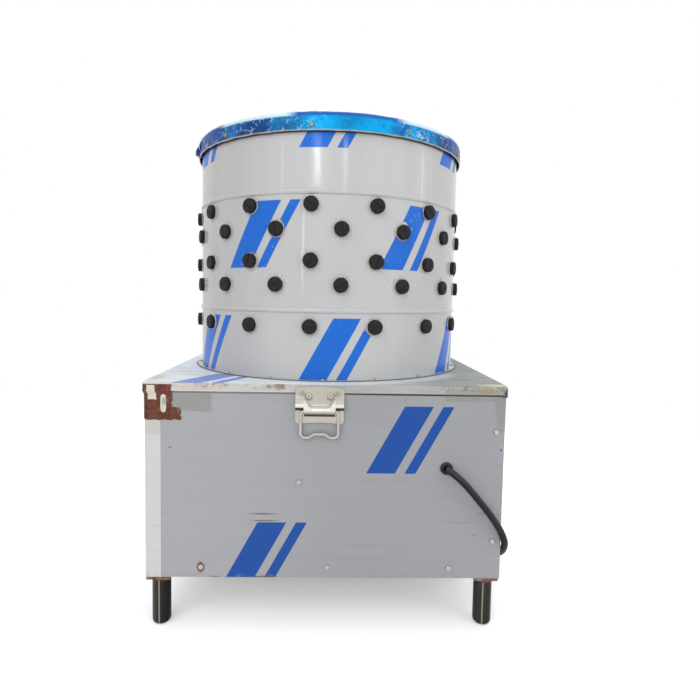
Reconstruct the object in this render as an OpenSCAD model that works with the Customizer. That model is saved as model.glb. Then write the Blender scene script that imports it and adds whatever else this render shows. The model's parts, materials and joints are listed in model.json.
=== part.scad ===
// Poultry plucker: a drum lined with rubber fingers on a sheet-metal stand, over a belt-driven finger plate.
// Millimetres. +Z is up, the front faces -Y, and the origin is on the floor under the drum's axis.

/* [Stand] */
// Width and depth of the stand over the lip of its top plate
box_w = 620; // [600:1:680]
// Height of the stand from the panels' lower edge to its top
box_h = 340; // [330:1:420]
// Height of the panels' lower edge above the floor
ground_gap = 92; // [70:1:160]
// Thickness of the top plate
plate_t = 2; // [1.5:0.5:3]
// Depth of the top plate's folded lip
lip_h = 15; // [10:1:25]
// Radius of the top plate's corners
lip_r = 4; // [3:0.5:8]
// Gap between the lip and the panels below it
lip_gap = 3.5; // [0.5:0.5:5]
// Thickness of the side panels
panel_t = 1.5; // [1:0.5:2]
// Width of the left panel's fold across the front
fold_w = 28; // [20:1:35]
// Outer radius of that fold
fold_r = 5; // [3:0.5:8]
// Width of the feather outlet in the left panel
outlet_w = 360; // [240:5:420]
// Height of the feather outlet
outlet_h = 70; // [50:1:80]
// Thickness of the outlet's sleeve
sleeve_t = 1.5; // [1:0.5:2]

/* [Frame and legs] */
// Leg width of the angle bars
angle_w = 40; // [30:1:45]
// Thickness of the angle bars
angle_t = 4; // [3:0.5:5]
// Height of the lower rails' seat above the panels' lower edge
low_seat = 58; // [56:1:75]
// Depth of the upper rails' seat below the top plate
high_drop = 155; // [150:1:165]
// Diameter of the leg tubes
leg_d = 32; // [25:1:38]
// Wall of the leg tubes
leg_wall = 2; // [1.5:0.5:3]
// Width of the plates that carry the legs
leg_plate_w = 41; // [40:1:60]
// Thickness of those plates
leg_plate_t = 6; // [4:0.5:8]
// Height of the domed foot below each leg tube
foot_h = 8; // [5:0.5:12]
// Depth of the foot's plug in the tube
foot_plug = 14; // [10:1:25]

/* [Drum] */
// Inner diameter of the drum
drum_d = 550; // [500:1:560]
// Thickness of the drum's sheet
drum_t = 1.5; // [1:0.5:2]
// Height of the drum with its rim
drum_h = 462; // [440:1:520]
// Width of the drum's foot flange
flange_w = 8.5; // [8:0.5:12]
// Heights of the drum's two rolled beads above the stand
bead_heights = [123, 328.5];
// How far the beads stand out
bead_out = 2.6; // [1.5:0.1:4]
// Half of a bead's height
bead_half = 4.5; // [3:0.1:6]
// Height of the rim
rim_h = 32; // [25:1:40]
// Width of the rim
rim_w = 14; // [12:0.5:18]
// Thickness of the rim
rim_t = 1.5; // [1:0.5:2]
// Number of screws in the rim
rim_screws_n = 10; // [6:1:16]
// Number of rivets in the foot flange
rivets_n = 18; // [12:1:24]

/* [Fingers] */
// Heights of the finger rows above the stand, from the top row down
row_heights = [307, 265, 210, 168, 95];
// Fingers in each row of the drum
fingers_n = 15; // [12:1:16]
// Turn of the odd rows from the front, in degrees
row_turn = -6.5; // [-12:0.5:12]
// Turn of the even rows against the odd ones, in degrees
row_shift = 11; // [8:0.5:14]
// Diameter of a finger's head
head_d = 26.4; // [22:0.2:28]
// Height of a finger's head
head_h = 9; // [6:0.5:12]
// Diameter of the holes that the fingers sit in
hole_d = 19; // [16:0.5:20]
// Length of a finger inside its wall
finger_len = 78; // [60:1:80]
// Number of ribs on a finger
ribs_n = 8; // [5:1:10]
// Fingers in the outer ring of the turning plate
outer_ring_n = 12; // [8:1:14]
// Fingers in the inner ring of the turning plate
inner_ring_n = 6; // [4:1:8]
// Radius of the inner ring
inner_ring_r = 125; // [100:1:135]
// Distance of the outer ring from the plate's edge
outer_ring_in = 45; // [35:1:55]

/* [Turning plate] */
// Gap between the turning plate and the drum that feathers fall through
feather_gap = 25; // [18:1:35]
// Thickness of the turning plate
table_t = 4; // [3:0.5:6]
// Height of the turning plate's downturned edge
table_edge = 12; // [8:1:16]
// Diameter of the main shaft
shaft_d = 30; // [25:1:35]
// Height of the sweepers under the plate
sweeper_h = 22; // [14:1:24]
// Number of sweepers
sweepers_n = 4; // [2:1:4]

/* [Drive] */
// Diameter of the large pulley
big_pulley_d = 300; // [260:1:310]
// Diameter of the motor's pulley
small_pulley_d = 64; // [56:1:76]
// Distance of the motor's axis from the main shaft, across and to the front
motor_off = 150; // [145:1:160]
// Diameter of the motor's body over its fins
motor_d = 156; // [140:1:160]
// Number of cooling fins
fins_n = 24; // [16:1:32]
// Diameter of the motor's shaft
motor_shaft_d = 19; // [14:1:24]
// Width of the bearing bridges
bridge_w = 120; // [116:1:130]
// Height of the bearing housings
housing_h = 36; // [30:1:40]
// Width of the bearing housings
housing_w = 100; // [96:1:104]
// How far the feather pan falls to its outlet
pan_fall = 100; // [70:1:105]

/* [Chest handles] */
// Width of a handle's plate
handle_w = 83; // [78:1:100]
// Height of a handle's plate at its sides
handle_h = 60; // [56:1:70]
// Thickness of that plate
handle_t = 1.5; // [1:0.5:2]
// Distance of the handles from the middle, to the left as seen from outside
handle_off = 11; // [0:1:60]
// Diameter of the bail's wire
wire_d = 5.5; // [4:0.5:6]
// Distance between the bail's legs
bail_w = 64; // [56:1:68]
// Drop of the bail's grip below its pivot
bail_drop = 45; // [40:1:60]
// Rise of the grip's middle
grip_hump = 6; // [4:0.5:8]

/* [Switch] */
// Width of the switch plate
switch_w = 62; // [50:1:80]
// Height of the switch plate
switch_h = 96; // [80:1:120]
// How far the switch plate stands out
switch_t = 9; // [7:0.5:9.5]
// Diameter of the buttons
button_d = 22.5; // [18:0.5:26]
// How far a button stands out of its plate
button_out = 4; // [3.5:0.5:4.5]

/* [Cord] */
// Diameter of the power cord
cord_d = 12; // [10:0.5:12]
// Outer diameter of the rubber grommet
grommet_d = 21.5; // [19:0.5:26]
// Turns of the put-away coil, in and out again
coil_turns = 3.5; // [2.5:0.5:4]

/* [Hidden] */
$fn = 72;
// A hair more than nothing, for cuts that pass right through
over = 1;
// Radial clearance of turning fits
run_fit = 0.05;
// Clearance between sheets that butt together
seam = 0.3;
// Clearance of rubber necks in their holes, and under their collars
neck_fit = 0.2;
collar_fit = 0.4;

// Levels and faces of the stand
half = box_w / 2;
skin = half - plate_t;
bone = skin - panel_t;
base_z = ground_gap;
top_z = ground_gap + box_h;
deck_z = top_z - plate_t;
panel_top = top_z - lip_h - lip_gap;
low_z = base_z + low_seat;
high_z = deck_z - high_drop;
inner = bone - angle_t;
leg_at = bone - leg_plate_w / 2;

// Drum
drum_r = drum_d / 2;
drum_out = drum_r + drum_t;
flange_r = drum_out + flange_w;
hole_in_plate_r = drum_r - 5;
rim_top = top_z + drum_h;
rim_r = rim_w / 2;
drum_top = rim_top - rim_t - 0.5;
rim_screw_z = rim_top - rim_h + 9;
rivet_at = drum_out + flange_w / 2 + 0.3;
rivet_turn = -1.5;

// Fingers
head_r = head_d / 2;
hole_r = hole_d / 2;
neck_r = hole_r - neck_fit;
collar_r = hole_r + 2;
finger_root_r = hole_r - 0.3;
finger_tip_r = 6;
collar_h = 7;
rib_start = 22;
rib_pitch = (finger_len - rib_start - 6) / ribs_n;
rib_dip = 1.6;
slit_w = 1.4;
slit_deep = 0.8;
slit_turn = 37;

// Turning plate
table_r = drum_r - feather_gap;
table_z = deck_z;
table_top = table_z + table_t;
outer_ring_r = table_r - outer_ring_in;
shaft_r = shaft_d / 2;
stud_r = shaft_r - 5;
hub_flange_r = 50;
hub_flange_t = 10;
hub_boss_r = shaft_r + 11;
hub_boss_z = table_z - 50;
skirt_r = 44;
skirt_drop = 32;
hub_bolt_at = 34;
hub_bolt_r = 4;
sweeper_t = 3;
sweeper_in = inner_ring_r + head_r + 12;

// Feather pan, a floor that falls to the left
pan_t = 2;
pan_high = deck_z - 30;
pan_low = pan_high - pan_fall;
pan_edge = 22;
collar_in_r = 38;
collar_t = 2;
collar_top = table_z - 22;
function pan_z(x) = pan_low + pan_fall * (x + inner) / (2 * inner);

// Bearings and bridges
bridge_t = 5;
bridge_lip = 26;
insert_r = shaft_r + 6;
housing_flange_t = 12;
bearing_bolt_at = housing_w / 2 - 13;
bearing_bolt_r = 5;
bolt_head_w = 16;
boss_taper = 4;
boss_foot_r = sqrt(2) * bearing_bolt_at - bolt_head_w / 2 / cos(30) - 1;
housing_boss_r = boss_foot_r - boss_taper;
bolt_fit = 0.2;

// Pulleys and belts
groove_pitch = 15;
pulley_w = groove_pitch + 20;
pulley_mid = low_z - 27;
pulley_low = pulley_mid - pulley_w / 2;
groove_depth = 11;
groove_top = 6.8;
groove_floor = 3.2;
belt_drop = 0.7;
belt_h = 8;
belt_top_w = 12;
belt_floor_w = 6.8;
big_r = big_pulley_d / 2;
small_r = small_pulley_d / 2;
pulley_gap = motor_off * sqrt(2);
belt_turn = acos((big_r - small_r) / pulley_gap);
web_t = 8;
rim_web_r = big_r - groove_depth - 7;
pulley_hub_r = shaft_r + 18;
pulley_hole_r = 24;
pulley_hole_at = (rim_web_r + pulley_hub_r) / 2;

// Motor, hung with its shaft down
rail_w = 40;
rail_t = 8;
rail_at = 60;
motor_plate_w = 176;
motor_plate_t = 6;
motor_plate_z = low_z + rail_t;
motor_foot_z = motor_plate_z + motor_plate_t;
motor_r = motor_d / 2;
motor_flange_t = 12;
bell_h = 20;
cover_h = 34;
motor_room = 10;
motor_top = pan_z(motor_off - motor_r) - motor_room;
stator_low = motor_foot_z + motor_flange_t + bell_h;
stator_high = motor_top - cover_h;
motor_shaft_r = motor_shaft_d / 2;
motor_bolt_at = 62;
fin_h = 9;
fin_t = 3;
terminal_w = 70;
terminal_out = 42;
air_slots_n = 12;
air_slot_w = 6;
air_slot_in = 24;
air_slot_deep = 3;

// Screws and rivets
screw_r = 2.5;
screw_fit = 0.1;
screw_head_r = 4.6;
screw_head_h = 2.6;
screw_len = panel_t + angle_t + 3;
screw_row_z = base_z + 18;
screw_row = [98 - half, 6, half - 92];
screw_edge = bone - 13;
screw_edge_z = [base_z + 67, base_z + 260];
front_mid_screw = [-45, high_z - 14];
front_screws = concat([for (x = screw_row) [x, screw_row_z]], [for (z = screw_edge_z) [screw_edge, z]],
                      [front_mid_screw]);
other_screws = concat([for (x = screw_row) [x, screw_row_z]],
                      [for (x = [-1, 1], z = screw_edge_z) [x * screw_edge, z]]);
rivet_r = 2;
rivet_head_r = 3.6;

// Chest handles
wire_r = wire_d / 2;
handle_back = half;
handle_front = handle_back + handle_t;
pivot_out = handle_front + wire_r + 0.45;
handle_z = top_z - 8 - handle_h / 2;
pivot_z = handle_z - 8;
bail_bend = 5;
grip_bend = 8;
handle_arch = 4;
handle_arch_r = (handle_w * handle_w / 4 + handle_arch * handle_arch) / (2 * handle_arch);
handle_corner = 6;
foot_rise = 2;
handle_rivet_at = 18.5;
handle_rivet_z = top_z - lip_h - plate_t - 2.7;
handle_rivet_r = 3;
handle_rivet_head_r = 5;
handle_rivet_head_h = 2;
handle_rivet_bore_r = 1.5;
handle_rivet_bore = 1.2;
handle_collar_r = 4.5;

// Hood over the bail's bar: its clearance, its bite into the plate, its step back from the plate's edge,
// its flat face and its front
hood_fit = 0.7;
hood_sink = 0.3;
hood_in = 0.5;
hood_r = wire_r + hood_fit + handle_t;
hood_face = handle_back + 2 * handle_t - hood_sink;
hood_front = pivot_out + hood_r;
// Half widths of its level middle and of its tab
hood_level = 13.5;
hood_tab = bail_w / 2 - bail_bend - 0.5;
tab_step = 0.5;
// Where it swells out, in the middle and at the sides, over what height, and the lip at the sides
hood_mid_z = pivot_z + 11;
hood_side_z = pivot_z + 25;
hood_mid_run = 8;
hood_side_run = 14;
hood_lip_z = pivot_z + 7.3;

// Switch on the rear panel
switch_at = [half - 130, base_z + 210];
button_gap = 42;
button_depth = 8;
button_r = button_d / 2;

// Cord: hand-chosen points from the grommet to the coil behind the stand
cord_r = cord_d / 2;
grommet_at = [half - 101, high_z + 13];
grommet_lip = 5;
grommet_neck = grommet_d / 2 - 2.5;
coil_at = [half - 105, half + 130];
coil_r_out = 78;
coil_r_in = 52;
coil_z = 7.2;
coil_layer = cord_d + 0.9;
coil_start = -20;
tail_len = 58;
tie_turn = 70;
gx = grommet_at[0];
gz = grommet_at[1];
cord_points = [
    [gx, -skin - 4, gz], [gx + 10.5, -skin - 13, gz - 6.3], [gx + 22.5, -skin - 18.4, gz - 15.7],
    [gx + 37, -skin - 20.4, gz - 30.5], [gx + 53, -skin - 19.8, gz - 49.5],
    [gx + 70.5, -skin - 17.4, gz - 70.5], [gx + 86, -skin - 13.8, gz - 92],
    [gx + 97, -skin - 9.6, gz - 110.5], [skin + 5, -skin - 4.9, gz - 127],
    [skin + 8, -skin + 4.5, gz - 141.5], [skin + 9.8, -skin + 17.5, gz - 154],
    [skin + 11, -skin + 36, gz - 167], [skin + 11.8, -skin + 62, 104], [skin + 12.6, -skin + 94, 84],
    [skin + 14, -skin + 130, 61], [skin + 16, -skin + 168, 38], [skin + 18.5, -skin + 206, 19],
    [skin + 21, -64, 8.8], [skin + 23, -22, 7.2], [skin + 25, 30, 7.2], [skin + 27, 90, 7.2],
    [skin + 28, 150, 7.2], [skin + 28, 210, 7.2], [skin + 25, skin - 38, 7.2], [skin + 17, skin + 17, 7.2]
];

// Shared shapes

function arc(c, r, from, to, steps) = [for (i = [0:steps]) let (a = from + (to - from) * i / steps)
    [c[0] + r * cos(a), c[1] + r * sin(a)]];

function rounded_square(h, r) = concat(arc([h - r, h - r], r, 0, 90, 6), arc([r - h, h - r], r, 90, 180, 6),
    arc([r - h, r - h], r, 180, 270, 6), arc([h - r, r - h], r, 270, 360, 6));

function flat(lists) = [for (l = lists, p = l) p];

// Side faces of a tube of rings, each with the same number of sides
function wrap_faces(rings, sides) = concat(
    [for (i = [0:rings - 2], j = [0:sides - 1]) [i * sides + j, i * sides + (j + 1) % sides,
        (i + 1) * sides + (j + 1) % sides]],
    [for (i = [0:rings - 2], j = [0:sides - 1]) [i * sides + j, (i + 1) * sides + (j + 1) % sides,
        (i + 1) * sides + j]]);

// Faces of a tube that is capped flat at both ends
function tube_faces(rings, sides) = concat(wrap_faces(rings, sides),
    [[for (j = [sides - 1:-1:0]) j]], [[for (j = [0:sides - 1]) (rings - 1) * sides + j]]);

// Faces of a bent sheet whose rings run down its front and up its back; its ends are capped across the sheet
function sheet_faces(rings, sides) = let (last = (rings - 1) * sides) concat(wrap_faces(rings, sides),
    [for (j = [0:sides / 2 - 2]) [sides - 1 - j, sides - 2 - j, j + 1, j]],
    [for (j = [0:sides / 2 - 2]) [last + j, last + j + 1, last + sides - 2 - j, last + sides - 1 - j]]);

function unit(v) = v / norm(v);

// One ring of a tube round point i of a path, upright where the path is level
function path_ring(path, i, r, sides) = let (
    n = len(path) - 1,
    ahead = unit(path[min(i + 1, n)] - path[max(i - 1, 0)]),
    guide = abs(ahead[2]) > 0.9 ? [0, 1, 0] : [0, 0, 1],
    across = unit(cross(ahead, guide)),
    up = cross(across, ahead))
    [for (j = [0:sides - 1]) let (a = 360 * j / sides)
        path[i] + r / cos(180 / sides) * 0.98 * (across * cos(a) - up * sin(a))];

module path_tube(path, r, sides) {
    rings = [for (i = [0:len(path) - 1]) path_ring(path, i, r, sides)];
    polyhedron(flat(rings), tube_faces(len(path), sides), convexity = 10);
}

// Turns a piece drawn at the front, where local +Z points out of the face, to one of the four sides
module on_side(side, x, out, z) {
    rotate([0, 0, 90 * side]) translate([x, -out, z]) rotate([90, 0, 0]) children();
}

// A slab on one side of the stand, from inner to outer distance
module side_slab(side, x0, x1, in, out, z0, z1) {
    rotate([0, 0, 90 * side]) translate([x0, -out, z0]) cube([x1 - x0, out - in, z1 - z0]);
}

module four_corners(at) {
    for (x = [-at, at], y = [-at, at]) translate([x, y, 0]) children();
}

module pan_head_screw(head_r, head_h, r, length) {
    rotate_extrude() polygon(concat([[0, -length], [r, -length], [r, 0], [head_r, 0]],
        arc([head_r - head_h * 0.8, head_h * 0.2], head_h * 0.8, 0, 90, 4), [[0, head_h]]));
}

module screw_holes(side, spots) {
    for (s = spots) on_side(side, s[0], skin, s[1])
        translate([0, 0, -screw_len - over]) cylinder(r = screw_r + screw_fit, h = screw_len + 2 * over);
}

module all_screw_holes() {
    screw_holes(0, front_screws);
    for (side = [1:3]) screw_holes(side, other_screws);
}

// Frame

// Four mitred angle bars round the stand; the level flange is at the bottom
module angle_ring() {
    for (k = [0:3]) rotate([0, 0, 90 * k]) intersection() {
        translate([-bone, 0, 0]) rotate([90, 0, 90]) linear_extrude(2 * bone)
            polygon([[-bone, 0], [-bone + angle_w, 0], [-bone + angle_w, angle_t], [-inner, angle_t],
                [-inner, angle_w], [-bone, angle_w]]);
        translate([0, 0, -over]) linear_extrude(angle_w + 2 * over)
            polygon([[0, 0], [-bone - over, -bone - over], [bone + over, -bone - over]]);
    }
}

// Rounds the frame's outer corners so that they lie in the sheet's fold
module rounded_corners() {
    intersection() {
        children();
        linear_extrude(top_z) polygon(rounded_square(bone, fold_r));
    }
}

module base_frame() {
    color("dimgray") difference() {
        rounded_corners() translate([0, 0, base_z]) angle_ring();
        all_screw_holes();
    }
}

module top_frame() {
    color("dimgray") difference() {
        rounded_corners() translate([0, 0, deck_z]) mirror([0, 0, 1]) angle_ring();
        all_screw_holes();
        handle_rivet_holes(0);
        handle_rivet_holes(2);
    }
}

module corner_posts() {
    color("dimgray") difference() {
        rounded_corners() for (k = [0:3]) rotate([0, 0, 90 * k]) translate([0, 0, base_z + angle_w])
            linear_extrude(deck_z - base_z - 2 * angle_w)
                polygon([[-bone, -bone], [-bone + angle_w, -bone], [-bone + angle_w, -inner],
                    [-inner, -inner], [-inner, -bone + angle_w], [-bone, -bone + angle_w]]);
        all_screw_holes();
    }
}

// Angle rails across the front and the rear, between the posts; they carry the bridges
module cross_rails() {
    reach = bone - angle_w;
    color("dimgray") difference() {
        for (side = [0, 2]) {
            side_slab(side, -reach, reach, inner, bone, high_z - angle_w, high_z);
            side_slab(side, -reach, reach, bone - angle_w, inner, high_z - angle_t, high_z);
            side_slab(side, -reach, reach, inner, bone, low_z - angle_t, low_z - angle_t + angle_w);
            side_slab(side, -reach, reach, bone - angle_w, inner, low_z - angle_t, low_z);
        }
        all_screw_holes();
    }
}

module leg_plates() {
    color("saddlebrown") four_corners(leg_at) translate([0, 0, base_z - leg_plate_t / 2])
        cube([leg_plate_w, leg_plate_w, leg_plate_t], center = true);
}

module legs() {
    color("darkslategray") four_corners(leg_at) translate([0, 0, foot_h]) difference() {
        cylinder(d = leg_d, h = base_z - leg_plate_t - foot_h);
        translate([0, 0, -over]) cylinder(d = leg_d - 2 * leg_wall, h = base_z + over);
    }
}

// Domed feet with a plug that fits the tube
module foot_caps() {
    r = leg_d / 2;
    plug_r = r - leg_wall - run_fit;
    color("darkslategray") four_corners(leg_at) rotate_extrude()
        polygon(concat([[0, 0]], arc([r - foot_h, foot_h], foot_h, -90, 0, 6),
            [[plug_r, foot_h], [plug_r, foot_h + foot_plug], [0, foot_h + foot_plug]]));
}

// Sheet metal

module top_plate() {
    color("gainsboro") difference() {
        translate([0, 0, top_z - lip_h]) linear_extrude(lip_h) polygon(rounded_square(half, lip_r));
        translate([0, 0, top_z - lip_h - over]) linear_extrude(lip_h - plate_t + over)
            polygon(rounded_square(skin, lip_r - plate_t));
        translate([0, 0, deck_z - over]) cylinder(r = hole_in_plate_r, h = plate_t + 2 * over);
        rivet_holes();
    }
}

module rivet_spots() {
    for (k = [0:rivets_n - 1]) rotate([0, 0, rivet_turn + 360 * k / rivets_n])
        translate([0, -rivet_at, top_z]) children();
}

module rivet_holes() {
    rivet_spots() translate([0, 0, -plate_t - over])
        cylinder(r = rivet_r + screw_fit, h = plate_t + drum_t + 2 * over);
}

module front_panel() {
    color("silver") difference() {
        side_slab(0, -skin + fold_w + seam, skin, bone, skin, base_z, panel_top);
        screw_holes(0, front_screws);
        on_side(0, grommet_at[0], skin, grommet_at[1]) translate([0, 0, -panel_t - over])
            cylinder(r = grommet_neck + run_fit, h = panel_t + 2 * over);
        handle_rivet_holes(0);
    }
}

// Side sheet that folds round the front-left corner
module left_panel() {
    bend_in = fold_r - panel_t;
    color("whitesmoke") difference() {
        rotate([0, 0, 270]) translate([0, 0, base_z]) linear_extrude(panel_top - base_z)
            polygon(concat([[-skin, -skin]], arc([skin - fold_r, -skin + fold_r], fold_r, 270, 360, 6),
                [[skin, -skin + fold_w], [bone, -skin + fold_w]],
                arc([skin - fold_r, -skin + fold_r], bend_in, 360, 270, 6), [[-skin, -bone]]));
        side_slab(3, -outlet_w / 2, outlet_w / 2, bone - over, skin + over, pan_low, pan_low + outlet_h);
        screw_holes(3, other_screws);
    }
}

module right_panel() {
    color("silver") difference() {
        side_slab(1, -bone + seam, skin, bone, skin, base_z, panel_top);
        screw_holes(1, other_screws);
    }
}

module rear_panel() {
    color("silver") difference() {
        side_slab(2, -bone + seam, bone - seam, bone, skin, base_z, panel_top);
        screw_holes(2, other_screws);
        handle_rivet_holes(2);
        button_holes();
    }
}

module panel_screws() {
    color("lightgray") {
        for (s = front_screws) on_side(0, s[0], skin, s[1])
            pan_head_screw(screw_head_r, screw_head_h, screw_r, screw_len);
        for (side = [1:3], s = other_screws) on_side(side, s[0], skin, s[1])
            pan_head_screw(screw_head_r, screw_head_h, screw_r, screw_len);
    }
}

// Feather floor with a collar that keeps water off the bearings
module feather_pan() {
    edge_top = pan_high + pan_edge;
    color("lightsteelblue") difference() {
        union() {
            rotate([90, 0, 0]) linear_extrude(2 * inner, center = true)
                polygon([[-inner, pan_low], [inner, pan_high], [inner, pan_high + pan_t],
                    [-inner, pan_low + pan_t]]);
            for (side = [-1, 1]) translate([0, side * (inner - pan_t / 2), 0]) rotate([90, 0, 0])
                linear_extrude(pan_t, center = true)
                    polygon([[-inner, pan_low], [inner, pan_high], [inner, edge_top],
                        [-inner, pan_low + pan_edge]]);
            translate([0, 0, pan_z(-collar_in_r) - 6])
                cylinder(r = collar_in_r + collar_t, h = collar_top - pan_z(-collar_in_r) + 6);
        }
        translate([0, 0, pan_low]) cylinder(r = collar_in_r, h = collar_top);
    }
}

// Sleeve that lines the outlet and carries the pan's fall out through the left panel
module outlet_sleeve() {
    w = outlet_w / 2;
    color("lightsteelblue") difference() {
        side_slab(3, -w, w, inner, half, pan_low, pan_low + outlet_h);
        side_slab(3, -w + sleeve_t, w - sleeve_t, inner - over, half + over, pan_low + sleeve_t,
            pan_low + outlet_h - sleeve_t);
    }
}

// Drum

function bead(r, z, from, to) = [for (p = arc([0, 0], 1, from, to, 6))
    [r + bead_out * p[0], z + bead_half * p[1]]];

module drum_shell() {
    beads = [for (h = bead_heights) top_z + h];
    color("gainsboro") difference() {
        rotate_extrude() polygon(concat(
            [[drum_r, top_z], [flange_r, top_z], [flange_r, top_z + drum_t], [drum_out, top_z + drum_t]],
            bead(drum_out, beads[0], -90, 90), bead(drum_out, beads[1], -90, 90),
            [[drum_out, drum_top], [drum_r, drum_top]],
            bead(drum_r, beads[1], 90, -90), bead(drum_r, beads[0], 90, -90)));
        for (row = [0:len(row_heights) - 1]) row_spots(row) translate([0, 0, -over])
            cylinder(r = hole_r, h = drum_t + 2 * over);
        rim_screw_spots(drum_out) translate([0, 0, -drum_t - over])
            cylinder(r = screw_r + screw_fit, h = drum_t + 2 * over);
        rivet_holes();
    }
}

// Rolled cap over the drum's upper edge
module drum_rim() {
    mid = drum_r + drum_t / 2;
    crown = rim_top - rim_r;
    foot = rim_top - rim_h;
    color("dodgerblue") difference() {
        rotate_extrude() polygon(concat([[mid + rim_r, foot]], arc([mid, crown], rim_r, 0, 180, 12),
            [[mid - rim_r, foot], [mid - rim_r + rim_t, foot]], arc([mid, crown], rim_r - rim_t, 180, 0, 12),
            [[mid + rim_r - rim_t, foot]]));
        rim_screw_spots(mid + rim_r) translate([0, 0, -rim_t - over])
            cylinder(r = screw_r + screw_fit, h = rim_t + 2 * over);
    }
}

module rim_screw_spots(r) {
    for (k = [0:rim_screws_n - 1]) rotate([0, 0, row_turn + 360 * k / rim_screws_n])
        translate([0, -r, rim_screw_z]) rotate([90, 0, 0]) children();
}

module rim_screws() {
    color("lightgray") rim_screw_spots(drum_r + drum_t / 2 + rim_r)
        pan_head_screw(screw_head_r, screw_head_h, screw_r, rim_r + drum_t + 3);
}

module flange_rivets() {
    color("lightgray") rivet_spots() translate([0, 0, drum_t])
        pan_head_screw(rivet_head_r, 2.4, rivet_r, drum_t + plate_t);
}

// Rubber finger: head outside its wall, grooved neck in the hole, ribbed taper inside; +Z points inwards
module finger(wall) {
    seat = wall + collar_fit;
    tip = wall + finger_len;
    rim = 2.5;
    function taper(z) = finger_root_r
        + (finger_tip_r - finger_root_r) * (z - collar_h) / (finger_len - collar_h);
    ribs = [for (i = [0:ribs_n - 1]) let (z = rib_start + i * rib_pitch)
        [[taper(z), wall + z], [taper(z) - rib_dip, wall + z + rib_pitch * 0.3],
         [taper(z) - rib_dip, wall + z + rib_pitch * 0.6],
         [taper(z + rib_pitch * 0.8), wall + z + rib_pitch * 0.8]]];
    rotate_extrude() polygon(concat([[0, -head_h - 1]], arc([head_r - rim, rim - head_h], rim, 270, 360, 4),
        [[head_r, -1], [head_r - 1, 0], [neck_r, 0], [neck_r, seat], [collar_r, seat],
         [finger_root_r, wall + collar_h]],
        flat(ribs), [[finger_tip_r, tip - 4], [finger_tip_r - 2.5, tip], [0, tip]]));
}

module row_spots(row) {
    turn = row_turn + (row % 2 == 1 ? row_shift : 0);
    for (k = [0:fingers_n - 1]) rotate([0, 0, turn + 360 * k / fingers_n])
        translate([0, -drum_out, top_z + row_heights[row]]) rotate([-90, 0, 0]) children();
}

// The heads outside the drum have a moulded slit, turned a little further in each row
module wall_fingers(row) {
    color("black") row_spots(row) difference() {
        finger(drum_t);
        rotate([0, 0, slit_turn * (row + 1)]) translate([-head_r, -slit_w / 2, -head_h - 1 - over])
            cube([head_d, slit_w, slit_deep + 1 + over]);
    }
}

// Turning plate and shaft

module plate_finger_spots() {
    for (k = [0:outer_ring_n - 1])
        rotate([0, 0, 360 * k / outer_ring_n]) translate([outer_ring_r, 0, table_z])
        children();
    for (k = [0:inner_ring_n - 1]) rotate([0, 0, 360 * (k + 0.5) / inner_ring_n])
        translate([inner_ring_r, 0, table_z]) children();
}

module hub_bolt_spots() {
    for (k = [0:5]) rotate([0, 0, 60 * k]) translate([hub_bolt_at, 0, table_top]) children();
}

module turntable() {
    edge_t = 2;
    color("silver") difference() {
        rotate_extrude() polygon([[shaft_r, table_z], [table_r - edge_t, table_z], [table_r - edge_t,
            table_top - table_edge], [table_r, table_top - table_edge], [table_r, table_top],
            [shaft_r, table_top]]);
        plate_finger_spots() translate([0, 0, -over]) cylinder(r = hole_r, h = table_t + 2 * over);
        hub_bolt_spots() translate([0, 0, -table_t - over])
            cylinder(r = hub_bolt_r + screw_fit, h = table_t + 2 * over);
    }
}

module plate_fingers() {
    color("black") plate_finger_spots() finger(table_t);
}

module sweepers() {
    color("black") for (k = [0:sweepers_n - 1]) rotate([0, 0, 360 * (k + 0.5) / sweepers_n + 30])
        translate([sweeper_in, -sweeper_t / 2, table_z - sweeper_h])
            cube([table_r - 6 - sweeper_in, sweeper_t, sweeper_h]);
}

module turntable_hub() {
    skirt_t = 3;
    flange_z = table_z - hub_flange_t;
    color("dimgray") difference() {
        rotate_extrude() polygon([[shaft_r, hub_boss_z], [hub_boss_r, hub_boss_z], [hub_boss_r, flange_z],
            [skirt_r, flange_z], [skirt_r, table_z - skirt_drop], [skirt_r + skirt_t, table_z - skirt_drop],
            [skirt_r + skirt_t, flange_z], [hub_flange_r, flange_z], [hub_flange_r, table_z],
            [shaft_r, table_z]]);
        hub_bolt_spots() translate([0, 0, -table_t - hub_flange_t - over])
            cylinder(r = hub_bolt_r + screw_fit, h = hub_flange_t + 2 * over);
    }
}

module hub_bolts() {
    color("lightgray") hub_bolt_spots() pan_head_screw(6.5, 4, hub_bolt_r, table_t + hub_flange_t);
}

// Domed cap nut over the shaft's stud
module shaft_cap() {
    cap_r = 24;
    cap_h = 30;
    color("silver") difference() {
        translate([0, 0, table_top]) rotate_extrude()
            polygon(concat([[0, 0], [cap_r, 0], [cap_r, 5]], arc([cap_r - 16, cap_h - 16], 16, 15, 90, 6),
                [[0, cap_h]]));
        translate([0, 0, table_top - over]) cylinder(r = stud_r + run_fit, h = 16 + over);
    }
}

module main_shaft() {
    color("slategray") union() {
        translate([0, 0, pulley_low - 4]) cylinder(r = shaft_r, h = table_top - pulley_low + 4);
        translate([0, 0, table_top]) cylinder(r = stud_r, h = 15);
    }
}

module bearing_inserts() {
    color("lightgray") for (z = [low_z + bridge_t, high_z + bridge_t]) translate([0, 0, z - 1]) difference() {
        cylinder(r = insert_r - run_fit, h = housing_h + 2);
        translate([0, 0, -over]) cylinder(r = shaft_r, h = housing_h + 2 + 2 * over);
    }
}

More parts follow.
